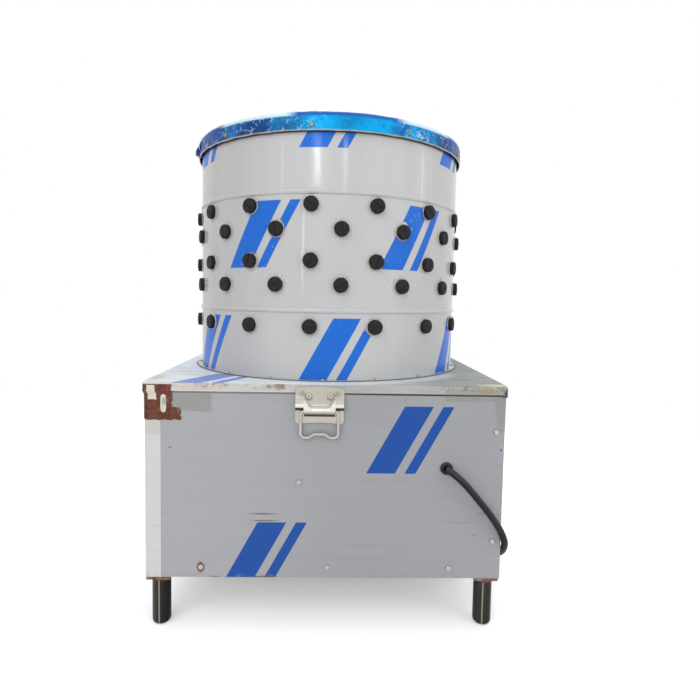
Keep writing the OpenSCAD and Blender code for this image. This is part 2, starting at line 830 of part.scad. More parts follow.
// Upright channel that spans from the front rail to the rear one
module bridge(z) {
    color("dimgray") translate([0, 0, z]) difference() {
        union() {
            translate([-bridge_w / 2, -inner, 0]) cube([bridge_w, 2 * inner, bridge_t]);
            for (x = [-bridge_w / 2, bridge_w / 2 - bridge_t]) translate([x, -inner, bridge_t])
                cube([bridge_t, 2 * inner, bridge_lip]);
        }
        translate([0, 0, -over]) cylinder(r = insert_r + 4, h = bridge_t + 2 * over);
        four_corners(bearing_bolt_at) translate([0, 0, -over])
            cylinder(r = bearing_bolt_r + bolt_fit, h = bridge_t + 2 * over);
    }
}

module upper_bridge() {
    bridge(high_z);
}

module lower_bridge() {
    bridge(low_z);
}

module bearing_housings() {
    color("seagreen") for (z = [low_z + bridge_t, high_z + bridge_t]) translate([0, 0, z]) difference() {
        union() {
            translate([-housing_w / 2, -housing_w / 2, 0]) cube([housing_w, housing_w, housing_flange_t]);
            cylinder(r1 = boss_foot_r, r2 = housing_boss_r, h = housing_h);
        }
        translate([0, 0, -over]) cylinder(r = insert_r, h = housing_h + 2 * over);
        four_corners(bearing_bolt_at) translate([0, 0, -over])
            cylinder(r = bearing_bolt_r + bolt_fit, h = housing_flange_t + 2 * over);
    }
}

module hex_bolt(r, head_w, head_h, length) {
    cylinder(d = head_w / cos(30), h = head_h, $fn = 6);
    translate([0, 0, -length]) cylinder(r = r, h = length);
}

module bearing_bolts() {
    color("lightgray") for (z = [low_z, high_z]) four_corners(bearing_bolt_at)
        translate([0, 0, z + bridge_t + housing_flange_t])
            hex_bolt(bearing_bolt_r, bolt_head_w, 6, bridge_t + housing_flange_t + 3);
}

// Belt drive

// Outline of a pulley's rim with two V grooves, from its bore side outwards and back, about its middle
function groove(r, z) = [[r, z - groove_top], [r - groove_depth, z - groove_floor],
    [r - groove_depth, z + groove_floor], [r, z + groove_top]];

function rim_outline(r) = concat([[r, -pulley_w / 2]],
    groove(r, -groove_pitch / 2), groove(r, groove_pitch / 2),
    [[r, pulley_w / 2]]);

module driven_pulley() {
    color("dimgray") translate([0, 0, pulley_mid]) difference() {
        rotate_extrude() polygon(concat(
            [[shaft_r, -pulley_w / 2], [pulley_hub_r, -pulley_w / 2], [pulley_hub_r, -web_t / 2],
             [rim_web_r, -web_t / 2], [rim_web_r, -pulley_w / 2]],
            rim_outline(big_r),
            [[rim_web_r, pulley_w / 2], [rim_web_r, web_t / 2], [pulley_hub_r, web_t / 2],
             [pulley_hub_r, pulley_w / 2], [shaft_r, pulley_w / 2]]));
        for (k = [0:5]) rotate([0, 0, 60 * k]) translate([pulley_hole_at, 0, -pulley_w])
            cylinder(r = pulley_hole_r, h = 2 * pulley_w);
    }
}

module at_motor() {
    translate([motor_off, -motor_off, 0]) children();
}

module motor_pulley() {
    color("dimgray") at_motor() translate([0, 0, pulley_mid]) rotate_extrude()
        polygon(concat([[motor_shaft_r, -pulley_w / 2]], rim_outline(small_r),
            [[motor_shaft_r, pulley_w / 2]]));
}

// One closed V belt round both pulleys, drawn with the motor on the +X side and then turned towards it
module v_belt() {
    big_steps = 40;
    small_steps = 12;
    stops = concat(
        [for (i = [0:big_steps]) [0, big_r, belt_turn + (360 - 2 * belt_turn) * i / big_steps]],
        [for (i = [0:small_steps]) [pulley_gap, small_r, -belt_turn + 2 * belt_turn * i / small_steps]]);
    function corner(s, depth, z) = let (r = s[1] - belt_drop - depth)
        [s[0] + r * cos(s[2]), r * sin(s[2]), z];
    points = [for (s = stops) each [corner(s, 0, belt_top_w / 2), corner(s, 0, -belt_top_w / 2),
        corner(s, belt_h, -belt_floor_w / 2), corner(s, belt_h, belt_floor_w / 2)]];
    n = len(stops);
    faces = concat(
        [for (i = [0:n - 1], j = [0:3]) let (k = (i + 1) % n)
            [4 * i + j, 4 * k + (j + 1) % 4, 4 * i + (j + 1) % 4]],
        [for (i = [0:n - 1], j = [0:3]) let (k = (i + 1) % n) [4 * i + j, 4 * k + j, 4 * k + (j + 1) % 4]]);
    polyhedron(points, faces, convexity = 6);
}

module drive_belts() {
    color("black") for (z = [-groove_pitch / 2, groove_pitch / 2]) translate([0, 0, pulley_mid + z])
        rotate([0, 0, -45]) v_belt();
}

module motor_rails() {
    color("dimgray") for (x = [-rail_at, rail_at]) translate([motor_off + x - rail_w / 2, -inner, low_z])
        difference() {
            cube([rail_w, 2 * inner, rail_t]);
            for (y = [-motor_bolt_at, motor_bolt_at])
                translate([rail_w / 2, inner - motor_off + y, -over])
                    cylinder(r = bearing_bolt_r + bolt_fit, h = rail_t + 2 * over);
        }
}

module motor_plate() {
    color("dimgray") at_motor() translate([0, 0, motor_plate_z]) difference() {
        translate([-motor_plate_w / 2, -motor_plate_w / 2, 0])
            cube([motor_plate_w, motor_plate_w, motor_plate_t]);
        translate([0, 0, -over]) cylinder(r = motor_shaft_r + 6, h = motor_plate_t + 2 * over);
        for (x = [-rail_at, rail_at], y = [-motor_bolt_at, motor_bolt_at]) translate([x, y, -over])
            cylinder(r = bearing_bolt_r + bolt_fit, h = motor_plate_t + 2 * over);
    }
}

module motor_bolts() {
    color("lightgray") at_motor() for (x = [-rail_at, rail_at], y = [-motor_bolt_at, motor_bolt_at])
        translate([x, y, motor_foot_z + motor_flange_t])
            hex_bolt(bearing_bolt_r, bolt_head_w, 6, motor_flange_t + motor_plate_t + rail_t + 3);
}

// Finned stator housing round its core
module motor_stator() {
    core_r = motor_r - fin_h;
    color("slategray") at_motor() translate([0, 0, stator_low]) difference() {
        union() {
            cylinder(r = core_r, h = stator_high - stator_low);
            for (k = [0:fins_n - 1]) rotate([0, 0, 360 * (k + 0.5) / fins_n])
                translate([core_r - over, -fin_t / 2, 0])
                    cube([fin_h + over, fin_t, stator_high - stator_low - 10]);
        }
        translate([0, 0, -over]) cylinder(r = motor_shaft_r + 3, h = stator_high - stator_low + 2 * over);
    }
}

// Square flange bell below the stator
module motor_end_bells() {
    flange_w = 2 * motor_bolt_at + 26;
    bell_r = motor_r - fin_h - 4;
    color("slategray") at_motor() translate([0, 0, motor_foot_z]) difference() {
        union() {
            translate([-flange_w / 2, -flange_w / 2, 0]) cube([flange_w, flange_w, motor_flange_t]);
            translate([0, 0, motor_flange_t]) cylinder(r1 = bell_r - 8, r2 = bell_r, h = bell_h);
        }
        translate([0, 0, -over])
            cylinder(r = motor_shaft_r + run_fit, h = motor_flange_t + bell_h + 2 * over);
        for (x = [-rail_at, rail_at], y = [-motor_bolt_at, motor_bolt_at]) translate([x, y, -over])
            cylinder(r = bearing_bolt_r + bolt_fit, h = motor_flange_t + 2 * over);
    }
}

// Domed fan cover with radial air slots
module fan_cover() {
    r = motor_r - 3;
    color("darkslategray") at_motor() translate([0, 0, stator_high]) difference() {
        rotate_extrude()
            polygon(concat([[0, 0], [r, 0]], arc([r - 10, cover_h - 10], 10, 0, 90, 5), [[0, cover_h]]));
        for (k = [0:air_slots_n - 1]) rotate([0, 0, 360 * k / air_slots_n])
            translate([air_slot_in, -air_slot_w / 2, cover_h - air_slot_deep])
                cube([r - 16 - air_slot_in, air_slot_w, air_slot_deep + over]);
    }
}

// Terminal box with a wider lid and a gland below
module terminal_box() {
    tall = terminal_w - 10;
    lid_t = 5;
    lid_over = 3;
    color("darkslategray") at_motor()
        translate([motor_r, -terminal_w / 2, stator_high - terminal_w]) union() {
        cube([terminal_out - lid_t, terminal_w, tall]);
        translate([terminal_out - lid_t, -lid_over, -lid_over])
            cube([lid_t, terminal_w + 2 * lid_over, tall + 2 * lid_over]);
        translate([terminal_out / 2, terminal_w / 2, -14]) cylinder(r = 8, h = 14);
        translate([terminal_out / 2, terminal_w / 2, -6]) cylinder(r = 11, h = 6, $fn = 6);
    }
}

module motor_shaft() {
    color("lightgray") at_motor() translate([0, 0, pulley_low - 3])
        cylinder(r = motor_shaft_r, h = stator_high - pulley_low + 3 - 1);
}

// Chest handles

module on_handle(side) {
    rotate([0, 0, 90 * side]) translate([-handle_off, 0, 0]) children();
}

module handle_rivet_holes(side) {
    on_handle(side) for (x = [-handle_rivet_at, handle_rivet_at])
        translate([x, -inner + over, handle_rivet_z])
        rotate([90, 0, 0]) cylinder(r = handle_rivet_r + screw_fit, h = hood_face - inner + 2 * over);
}

function blend(t) = let (c = max(0, min(1, t))) c * c * (3 - 2 * c);

// Top edge of the hood at u
function arch_z(u) = handle_z + handle_h / 2 + handle_arch - handle_arch_r - hood_in
    + sqrt(handle_arch_r * handle_arch_r - u * u);

// Front line of the hood's section at u, as distances out and heights from its top edge to its lip
function hood_line(u) = let (
    side = blend((abs(u) - hood_level) / (hood_tab - hood_level)),
    start = hood_mid_z + (hood_side_z - hood_mid_z) * side,
    run = hood_mid_run + (hood_side_run - hood_mid_run) * side,
    low = start - run,
    lip = abs(u) > hood_tab ? hood_lip_z : pivot_z - 4)
    concat([[hood_face, arch_z(u)], [hood_face, (arch_z(u) + start) / 2]],
        [for (i = [0:6]) [hood_face + (hood_front - hood_face) * blend(i / 6), start - run * i / 6]],
        abs(u) < hood_tab ? arc([pivot_out, pivot_z], hood_r, 0, -60, 4)
            : [for (i = [1:5]) [hood_front, low + (lip - low) * i / 5]]);

// The same line moved in by the sheet's thickness
function sheet_back(line) = let (n = len(line) - 1) [for (i = [0:n]) let (
    run = unit(line[min(i + 1, n)] - line[max(i - 1, 0)])) line[i] - handle_t * [-run[1], run[0]]];

// Pressed hood: a sheet that swells out over the bail's bar and curls under it
module handle_hood() {
    w = handle_w / 2 - hood_in;
    right = [2.5, 6, 9.5, hood_level, 16, 18.5, 21, 23.5, hood_tab - tab_step, hood_tab, hood_tab + tab_step,
        (hood_tab + w) / 2, w];
    slices = concat([for (i = [len(right) - 1:-1:0]) right[i]], [for (u = right) -u]);
    rings = [for (u = slices) let (front = hood_line(u), back = sheet_back(front))
        concat([for (p = front) [u, -p[0], p[1]]],
            [for (i = [len(back) - 1:-1:0]) [u, -back[i][0], back[i][1]]])];
    polyhedron(flat(rings), sheet_faces(len(rings), len(rings[0])), convexity = 6);
}

// Handle plate with an arched top, a drawn-in foot and the hood that the bail hangs in
module handle_plate(side) {
    w = handle_w / 2;
    h = handle_h / 2;
    arch_a = asin(w / handle_arch_r);
    foot_w = w - handle_corner;
    foot_r = (foot_w * foot_w + foot_rise * foot_rise) / (2 * foot_rise);
    foot_a = asin(foot_w / foot_r);
    color("tan") difference() {
        on_handle(side) union() {
            translate([0, -handle_back, handle_z]) rotate([90, 0, 0]) linear_extrude(handle_t)
                polygon(concat(arc([0, foot_rise - h - foot_r], foot_r, 90 + foot_a, 90 - foot_a, 6),
                    arc([foot_w, handle_corner - h], handle_corner, 270, 360, 5),
                    arc([0, h + handle_arch - handle_arch_r], handle_arch_r, 90 - arch_a, 90 + arch_a, 8),
                    arc([-foot_w, handle_corner - h], handle_corner, 180, 270, 5)));
            handle_hood();
        }
        handle_rivet_holes(side);
    }
}

// Hollow-headed rivets with a spacer collar between the panel and the handle's plate
module handle_rivets() {
    color("lightgray") for (side = [0, 2]) on_handle(side) for (x = [-handle_rivet_at, handle_rivet_at])
        translate([x, -hood_face, handle_rivet_z]) rotate([90, 0, 0]) union() {
            difference() {
                pan_head_screw(handle_rivet_head_r, handle_rivet_head_h, handle_rivet_r, hood_face - inner + 2);
                translate([0, 0, handle_rivet_head_h - handle_rivet_bore])
                    cylinder(r = handle_rivet_bore_r, h = handle_rivet_bore + over);
            }
            translate([0, 0, handle_back - hood_face - plate_t]) cylinder(r = handle_collar_r, h = plate_t);
        }
}

// A quarter bend of the bail's wire about its own centre, in the local XZ plane
module wire_bend(r, from) {
    rotate([90, 0, 0]) rotate([0, 0, from]) rotate_extrude(angle = 90) translate([r, 0]) circle(r = wire_r);
}

module wire_run(from, to) {
    d = to - from;
    translate(from) rotate([0, acos(d[2] / norm(d)), atan2(d[1], d[0])]) cylinder(r = wire_r, h = norm(d));
}

// Closed wire loop that hangs from its upper bar; the grip has a raised middle
module bail(side) {
    w = bail_w / 2;
    low = -bail_drop;
    hump_x = 9;
    color("tan") on_handle(side) translate([0, -pivot_out, pivot_z]) union() {
        wire_run([-w + bail_bend, 0, 0], [w - bail_bend, 0, 0]);
        translate([w - bail_bend, 0, -bail_bend]) wire_bend(bail_bend, 0);
        translate([-w + bail_bend, 0, -bail_bend]) wire_bend(bail_bend, 90);
        for (x = [-w, w]) wire_run([x, 0, low + grip_bend], [x, 0, -bail_bend]);
        translate([-w + grip_bend, 0, low + grip_bend]) wire_bend(grip_bend, 180);
        translate([w - grip_bend, 0, low + grip_bend]) wire_bend(grip_bend, 270);
        for (s = [-1, 1]) {
            wire_run([s * (w - grip_bend), 0, low], [s * 2 * hump_x, 0, low]);
            wire_run([s * 2 * hump_x, 0, low], [s * hump_x, 0, low + grip_hump]);
            translate([s * 2 * hump_x, 0, low]) sphere(r = wire_r);
            translate([s * hump_x, 0, low + grip_hump]) sphere(r = wire_r);
        }
        wire_run([-hump_x, 0, low + grip_hump], [hump_x, 0, low + grip_hump]);
    }
}

// Switch on the rear panel

module button_spots() {
    for (s = [-1, 1]) on_side(2, switch_at[0], skin, switch_at[1] + s * button_gap / 2) children();
}

module button_holes() {
    button_spots() translate([0, 0, -panel_t - over])
        cylinder(r = button_r + run_fit, h = panel_t + switch_t + 2 * over);
}

module switch_plate() {
    w = switch_w / 2;
    h = switch_h / 2;
    corner = 8;
    color("dimgray") difference() {
        on_side(2, switch_at[0], skin, switch_at[1]) linear_extrude(switch_t)
            polygon(concat(arc([w - corner, h - corner], corner, 0, 90, 4),
                arc([corner - w, h - corner], corner, 90, 180, 4),
                arc([corner - w, corner - h], corner, 180, 270, 4),
                arc([w - corner, corner - h], corner, 270, 360, 4)));
        button_holes();
    }
}

module button(s, colour) {
    color(colour) on_side(2, switch_at[0], skin, switch_at[1] + s * button_gap / 2)
        translate([0, 0, switch_t + button_out - button_depth]) rotate_extrude()
            polygon(concat([[0, 0], [button_r, 0]], arc([button_r - 2, button_depth - 2], 2, 0, 90, 4),
                [[0, button_depth]]));
}

module start_button() {
    button(1, "green");
}

module stop_button() {
    button(-1, "red");
}

// Power cord

module cord_grommet() {
    r = grommet_d / 2;
    color("black") on_side(0, grommet_at[0], skin, grommet_at[1]) rotate_extrude()
        polygon(concat([[cord_r + run_fit, -panel_t - 3], [r - 1, -panel_t - 3], [r - 1, -panel_t],
            [grommet_neck, -panel_t], [grommet_neck, 0], [r, 0]],
            arc([r - 3, grommet_lip - 3], 3, 0, 90, 4), [[cord_r + run_fit, grommet_lip]]));
}

// The coil winds in on the floor, climbs a layer while it reverses and winds out again on top
coil_steps = 24 * coil_turns;
function coil_point(i) = let (
    s = i / coil_steps,
    a = coil_start + 360 * coil_turns * s,
    r = coil_r_out - (coil_r_out - coil_r_in) * (1 - abs(2 * s - 1)),
    climb = 0.5 / coil_turns,
    lift = max(0, min(1, (s - 0.5 + climb / 2) / climb)),
    z = coil_z + coil_layer * (3 * lift * lift - 2 * lift * lift * lift))
    [coil_at[0] + r * cos(a), coil_at[1] + r * sin(a), z];
coil_path = [for (i = [0:coil_steps]) coil_point(i)];
coil_end_dir = unit(coil_path[coil_steps] - coil_path[coil_steps - 1]);
coil_tail = [for (d = [tail_len / 2, tail_len])
    coil_path[coil_steps] + d * [coil_end_dir[0], coil_end_dir[1], 0]];
plug_at = coil_tail[1];
plug_turn = atan2(coil_end_dir[1], coil_end_dir[0]);
coil_wire = concat(coil_path, coil_tail);
cord_path = concat(cord_points, [coil_path[0]]);

// Length of a path, and the least gap between stretches of the coil that aren't neighbours
function path_length(path) = [for (i = [1:len(path) - 1]) norm(path[i] - path[i - 1])]
    * [for (i = [2:len(path)]) 1];
coil_gap = min([for (i = [0:coil_steps], j = [i + 12:1:coil_steps])
    norm(coil_path[i] - coil_path[j])]) - cord_d;
echo(cord_length = path_length(cord_path) + path_length(coil_wire), coil_gap = coil_gap);

module power_cord() {
    color("black") path_tube(cord_path, cord_r, 10);
}

module cord_coil() {
    color("black") path_tube(coil_wire, cord_r, 6);
}

// Strap round the coil's turns
module cord_tie() {
    t = 0.8;
    room = 0.4;
    mid = (coil_r_out + coil_r_in) / 2;
    w = coil_r_out - coil_r_in + cord_d + 6 * room;
    low = coil_z - cord_r - room;
    high = coil_z + coil_layer + cord_r + room;
    color("black") translate([coil_at[0], coil_at[1], 0])
        rotate([0, 0, tie_turn]) translate([mid, 0, 0]) difference() {
        translate([-w / 2 - t, -5, low - t]) cube([w + 2 * t, 10, high - low + 2 * t]);
        translate([-w / 2, -5 - over, low]) cube([w, 10 + 2 * over, high - low]);
    }
}

// Moulded plug with a ribbed strain relief and two round pins
module plug() {
    body_r = 17;
    body_l = 32;
    relief_l = 24;
    pin_gap = 19;
    pin_r = 2.4;
    pin_l = 19;
    ribs = [for (i = [0:3]) each [[8, 3 + 5 * i], [9.5, 4 + 5 * i], [9.5, 6 + 5 * i], [8, 7 + 5 * i]]];
    color("black") translate(plug_at) rotate([0, 90, plug_turn]) union() {
        rotate_extrude() polygon(concat([[0, 0], [7.5, 0]], ribs,
            [[9, relief_l], [body_r - 4, relief_l + 4], [body_r, relief_l + 9],
             [body_r, relief_l + body_l - 2],
             [body_r - 2, relief_l + body_l], [0, relief_l + body_l]]));
        for (y = [-pin_gap / 2, pin_gap / 2]) translate([0, y, relief_l + body_l])
            cylinder(r = pin_r, h = pin_l);
    }
}

base_frame();
corner_posts();
top_frame();
cross_rails();
leg_plates();
legs();
foot_caps();
top_plate();
front_panel();
left_panel();
right_panel();
rear_panel();
panel_screws();
drum_shell();
drum_rim();
rim_screws();
flange_rivets();
wall_fingers(0);  // wall_fingers_row_1
wall_fingers(1);  // wall_fingers_row_2
wall_fingers(2);  // wall_fingers_row_3
wall_fingers(3);  // wall_fingers_row_4
wall_fingers(4);  // wall_fingers_row_5
turntable();
turntable_hub();
hub_bolts();
shaft_cap();
plate_fingers();
sweepers();
main_shaft();
bearing_inserts();
driven_pulley();
upper_bridge();
lower_bridge();
bearing_housings();
bearing_bolts();
feather_pan();
outlet_sleeve();
motor_rails();
motor_plate();
motor_bolts();
motor_stator();
motor_end_bells();
fan_cover();
terminal_box();
motor_shaft();
motor_pulley();
drive_belts();
handle_plate(0);  // front_handle_plate
handle_plate(2);  // rear_handle_plate
handle_rivets();
bail(0);  // front_bail
bail(2);  // rear_bail
switch_plate();
start_button();
stop_button();
cord_grommet();
power_cord();
cord_coil();
cord_tie();
plug();
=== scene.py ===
"""Looks of a drum poultry plucker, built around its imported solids. Metres, +Z up, the front faces -Y."""

import json
import math
import random

import bmesh
import bpy
from mathutils import Matrix, Vector, noise


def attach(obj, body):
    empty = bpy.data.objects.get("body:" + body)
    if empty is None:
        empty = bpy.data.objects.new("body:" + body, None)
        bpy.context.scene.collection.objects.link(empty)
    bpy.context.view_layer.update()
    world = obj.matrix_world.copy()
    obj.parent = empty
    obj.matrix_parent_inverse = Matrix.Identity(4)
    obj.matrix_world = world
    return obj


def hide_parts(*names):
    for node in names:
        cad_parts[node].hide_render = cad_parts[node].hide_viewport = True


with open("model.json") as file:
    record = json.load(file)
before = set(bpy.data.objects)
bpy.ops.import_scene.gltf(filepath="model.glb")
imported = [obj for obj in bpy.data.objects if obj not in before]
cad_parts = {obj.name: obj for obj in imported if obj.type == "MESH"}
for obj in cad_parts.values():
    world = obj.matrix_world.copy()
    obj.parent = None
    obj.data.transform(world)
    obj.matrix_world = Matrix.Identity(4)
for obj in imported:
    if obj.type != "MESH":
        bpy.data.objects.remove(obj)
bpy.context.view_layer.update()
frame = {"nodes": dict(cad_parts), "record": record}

NODES = frame["nodes"]
MM = 0.001

# Main sizes of the machine, as its solids have them
DRUM_R = 0.2765
FLANGE_R = 0.285
STAND_TOP = 0.432
STAND_FOOT = 0.092
LIP_FACE = 0.310
SKIN = 0.308
LIP_FOOT = 0.417
PANEL_TOP = 0.4135
CORNER_R = 0.0045
LEG_AT = 0.286
HOOD_BACK, HOOD_FRONT, HOOD_TAB = 0.3135, 0.3185, 0.0265
HANDLE_OFF = 0.011
RIM_TOP = 0.894
RIM_HEIGHT = 0.032
RIM_MID_R = 0.27575
RIM_HALF = 0.007
ROW_HEIGHTS = (0.307, 0.265, 0.210, 0.168, 0.095)
FINGERS = 15
ROW_TURN = -6.5
ROW_SHIFT = 11.0
HEAD_R = 0.0132

# Limits between which a finish changes, among them bands of painted shade, highlight and reflection
LIP_SHADE, WING_SHADE = (0.3764, 0.3822), (0.3866, 0.3926)
LIP_HALF_SHADE, WING_HALF_SHADE = (0.3822, 0.3866), (0.3990, 0.4085)
SLOT_DEPTH = (0.3138, 0.3150)
DRUM_REFLECTION_RING = (0.27, 0.318)
LIP_BEND = (0.4285, 0.4295)
WELD_HEAT = (0.076, 0.087)
TAPE_SIDE_SHADE = (-0.309, -0.299)

scene = bpy.context.scene


def add_object(name, data):
    made = bpy.data.objects.new(name, data)
    scene.collection.objects.link(made)
    return made


# Camera: the lens, place and tilt come from a fit of the machine's corners to the photograph

FRAME_PX = 700
LENS_PX = 512.24
CENTRE_PX = (340.22, 328.69)
EYE = Vector((0.0008, -1.1701, 0.5817))
YAW, PITCH, ROLL = (math.radians(a) for a in (1.374, -3.67, 1.029))


def make_camera():
    data = bpy.data.cameras.new("photo_camera")
    data.sensor_width = 36.0
    data.lens = LENS_PX / FRAME_PX * data.sensor_width
    data.shift_x = (FRAME_PX / 2 - CENTRE_PX[0]) / FRAME_PX
    data.shift_y = (CENTRE_PX[1] - FRAME_PX / 2) / FRAME_PX
    data.clip_start, data.clip_end = 0.05, 50.0
    camera = add_object("photo_camera", data)
    ahead = Vector((math.sin(YAW) * math.cos(PITCH), math.cos(YAW) * math.cos(PITCH), math.sin(PITCH)))
    level = ahead.cross(Vector((0, 0, 1))).normalized()
    upright = level.cross(ahead)
    right = level * math.cos(ROLL) + upright * math.sin(ROLL)
    up = right.cross(ahead)
    turn = Matrix((right, up, -ahead)).transposed()
    camera.matrix_world = Matrix.Translation(EYE) @ turn.to_4x4()
    scene.camera = camera


make_camera()


# Helpers for meshes and node trees


def piece(name, verts, faces, material):
    """A smooth mesh piece that rides on the machine."""
    mesh = bpy.data.meshes.new(name)
    mesh.from_pydata([tuple(v) for v in verts], [], faces)
    mesh.validate()
    bm = bmesh.new()
    bm.from_mesh(mesh)
    bmesh.ops.recalc_face_normals(bm, faces=bm.faces)
    bm.to_mesh(mesh)
    bm.free()
    mesh.polygons.foreach_set("use_smooth", [True] * len(mesh.polygons))
    mesh.materials.append(material)
    made = add_object(name, mesh)
    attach(made, "machine")
    return made


def grid_faces(rows, columns, wrap=False):
    """Quads of a grid of points that is stored row by row; wrap closes it both ways."""
    faces = []
    for i in range(rows if wrap else rows - 1):
        for j in range(columns if wrap else columns - 1):
            k, m = (i + 1) % rows, (j + 1) % columns
            faces.append((i * columns + j, i * columns + m, k * columns + m, k * columns + j))
    return faces


def thin_sheet(name, rows, columns, place, thick, material):
    """A closed sheet: place(u, v, out) gives its points, u across, v down and out off what it lies on."""
    verts = []
    for out in (thick, 0.0):
        for i in range(rows):
            verts += [place(j / (columns - 1), i / (rows - 1), out) for j in range(columns)]
    front = grid_faces(rows, columns)
    count = rows * columns
    faces = front + [tuple(count + k for k in reversed(face)) for face in front]
    edge = [(0, j) for j in range(columns)]
    edge += [(i, columns - 1) for i in range(1, rows)]
    edge += [(rows - 1, j) for j in range(columns - 2, -1, -1)]
    edge += [(i, 0) for i in range(rows - 2, 0, -1)]
    ring = [i * columns + j for i, j in edge]
    for a, b in zip(ring, ring[1:] + ring[:1]):
        faces.append((b, a, count + a, count + b))
    piece(name, verts, faces, material)


def smooth_step(value, low, high):
    share = max(0.0, min(1.0, (value - low) / (high - low)))
    return share * share * (3 - 2 * share)


def wander(value, scale, seed):
    """Seeded noise along a line, about -1 to 1."""
    return noise.noise(Vector((value * scale, seed, 0.5)))


class Tree:
    """Shorthand for placing and joining nodes."""

    def __init__(self, tree):
        self.tree = tree

    def add(self, kind, inputs=None, **settings):
        made = self.tree.nodes.new("ShaderNode" + kind)
        for key, value in settings.items():
            setattr(made, key, value)
        for key, value in (inputs or {}).items():
            self.feed(made.inputs[key], value)
        return made

    def feed(self, socket, value):
        if isinstance(value, bpy.types.NodeSocket):
            self.tree.links.new(value, socket)
        else:
            socket.default_value = value

    def math(self, operation, a, b=0.0, c=0.0, clamp=False):
        made = self.add("Math", operation=operation, use_clamp=clamp)
        for socket, value in zip(made.inputs, (a, b, c)):
            self.feed(socket, value)
        return made.outputs[0]

    def times(self, a, b):
        return self.math("MULTIPLY", a, b)

    def plus(self, a, b):
        return self.math("ADD", a, b)

    def minus(self, a, b):
        return self.math("SUBTRACT", a, b)

    def length(self, a, b):
        """Length of a vector of two parts."""
        return self.math("SQRT", self.plus(self.times(a, a), self.times(b, b)))

    def place(self):
        """Object coordinates."""
        return self.add("TexCoord").outputs["Object"]

    def vector(self, operation, *values):
        return self.add("VectorMath", dict(enumerate(values)), operation=operation).outputs

    def ramp(self, value, low, high, out_low=0.0, out_high=1.0):
        made = self.add("MapRange", interpolation_type="SMOOTHSTEP")
        names = ("Value", "From Min", "From Max", "To Min", "To Max")
        for key, item in zip(names, (value, low, high, out_low, out_high)):
            self.feed(made.inputs[key], item)
        return made.outputs["Result"]

    def band(self, value, low, high, soft):
        """1 between two limits, fading over soft at each."""
        rise = self.ramp(value, low - soft, low + soft)
        fall = self.ramp(value, high - soft, high + soft, 1.0, 0.0)
        return self.times(rise, fall)

    def bands(self, value, limits):
        """1 within any of several bands."""
        found = self.band(value, *limits[0])
        for limit in limits[1:]:
            found = self.math("MAXIMUM", found, self.band(value, *limit))
        return found

    def mix(self, factor, a, b, blend="MIX"):
        made = self.add("Mix", data_type="RGBA", blend_type=blend)
        self.feed(made.inputs["Factor"], factor)
        for socket, value in ((made.inputs[6], a), (made.inputs[7], b)):
            if not isinstance(value, bpy.types.NodeSocket):
                value = (*value[:3], 1.0)
            self.feed(socket, value)
        return made.outputs[2]

    def noise(self, vector, scale, detail=3.0, roughness=0.55, stretch=None):
        if stretch is not None:
            vector = self.add("Mapping", {"Vector": vector, "Scale": stretch}).outputs["Vector"]
        inputs = {"Vector": vector, "Scale": scale, "Detail": detail, "Roughness": roughness}
        return self.add("TexNoise", inputs).outputs["Fac"]

    def group(self, made, **values):
        node = self.add("Group", node_tree=made)
        for key, value in values.items():
            self.feed(node.inputs[key.replace("_", " ")], value)
        return node.outputs


# Stretches of a mark, and the point that a vector socket starts from
ORIGIN = (0.0, 0.0, 0.0)
LEVEL = (0.25, 0.0, 4.0)
ROUND = (1.0, 0.0, 1.0)
WIDE = (0.6, 0.0, 1.0)


def new_group(name, outputs, **inputs):
    """An empty shader group, its tree helper and its sockets; each input comes with its usual value."""
    made = bpy.data.node_groups.new(name, "ShaderNodeTree")
    for key, value in inputs.items():
        kind = "NodeSocketFloat" if isinstance(value, float) else "NodeSocketVector"
        socket = made.interface.new_socket(key.replace("_", " "), in_out="INPUT", socket_type=kind)
        socket.default_value = value
    for key in outputs:
        made.interface.new_socket(key, in_out="OUTPUT", socket_type="NodeSocketFloat")
    tree = Tree(made)
    source = made.nodes.new("NodeGroupInput").outputs
    sink = made.nodes.new("NodeGroupOutput").inputs
    return made, tree, source, sink


# Shared effects


def make_cloudy():
    """Soft light and dark patches and fine specks that break up a flat tone."""
    made, t, src, out = new_group("cloudy", ("Shade", "Fine"), Patch_Scale=9.0, Depth=0.1)
    place = t.place()
    broad = t.noise(place, src["Patch Scale"], 4.0)
    fine = t.noise(place, t.times(src["Patch Scale"], 14.0), 2.0)
    both = t.plus(t.times(broad, 0.75), t.times(fine, 0.25))
    shade = t.math("MULTIPLY_ADD", t.minus(both, 0.5), src["Depth"], 1.0)
    t.feed(out["Shade"], shade)
    t.feed(out["Fine"], fine)
    return made


def make_rolled_streaks():
    """Drawn-out level streaks of rolled sheet."""
    made, t, src, out = new_group("rolled_streaks", ("Streak",), Vector=ORIGIN, Scale=60.0)
    streak = t.noise(src["Vector"], src["Scale"], 3.0, 0.6, (0.04, 0.04, 1.0))
    t.feed(out["Streak"], streak)
    return made


def make_scratches():
    """Sparse short marks, as a mask."""
    made, t, src, out = new_group("scratches", ("Mask",), Vector=ORIGIN, Scale=24.0, Amount=0.3)
    lines = t.noise(src["Vector"], src["Scale"], 1.0, 0.5, (0.35, 0.35, 6.0))
    where = t.noise(src["Vector"], 7.0, 2.0)
    hit = t.ramp(lines, 0.70, 0.76)
    gate = t.ramp(where, *(t.minus(limit, src["Amount"]) for limit in (0.75, 0.85)))
    t.feed(out["Mask"], t.times(hit, gate))
    return made


# Print of the film: a wide and a narrow leaning bar, repeated in staggered rows
PRINT_PITCH = 2 * math.pi * DRUM_R / 6
WIDE_PITCH = 0.62
PRINT_ROW = 0.205
PRINT_SIZE = 0.118
PRINT_LEAN = 0.55
PRINT_BARS = ((0.0, 0.42), (0.56, 0.72))
PRINT_SOFT = 0.006


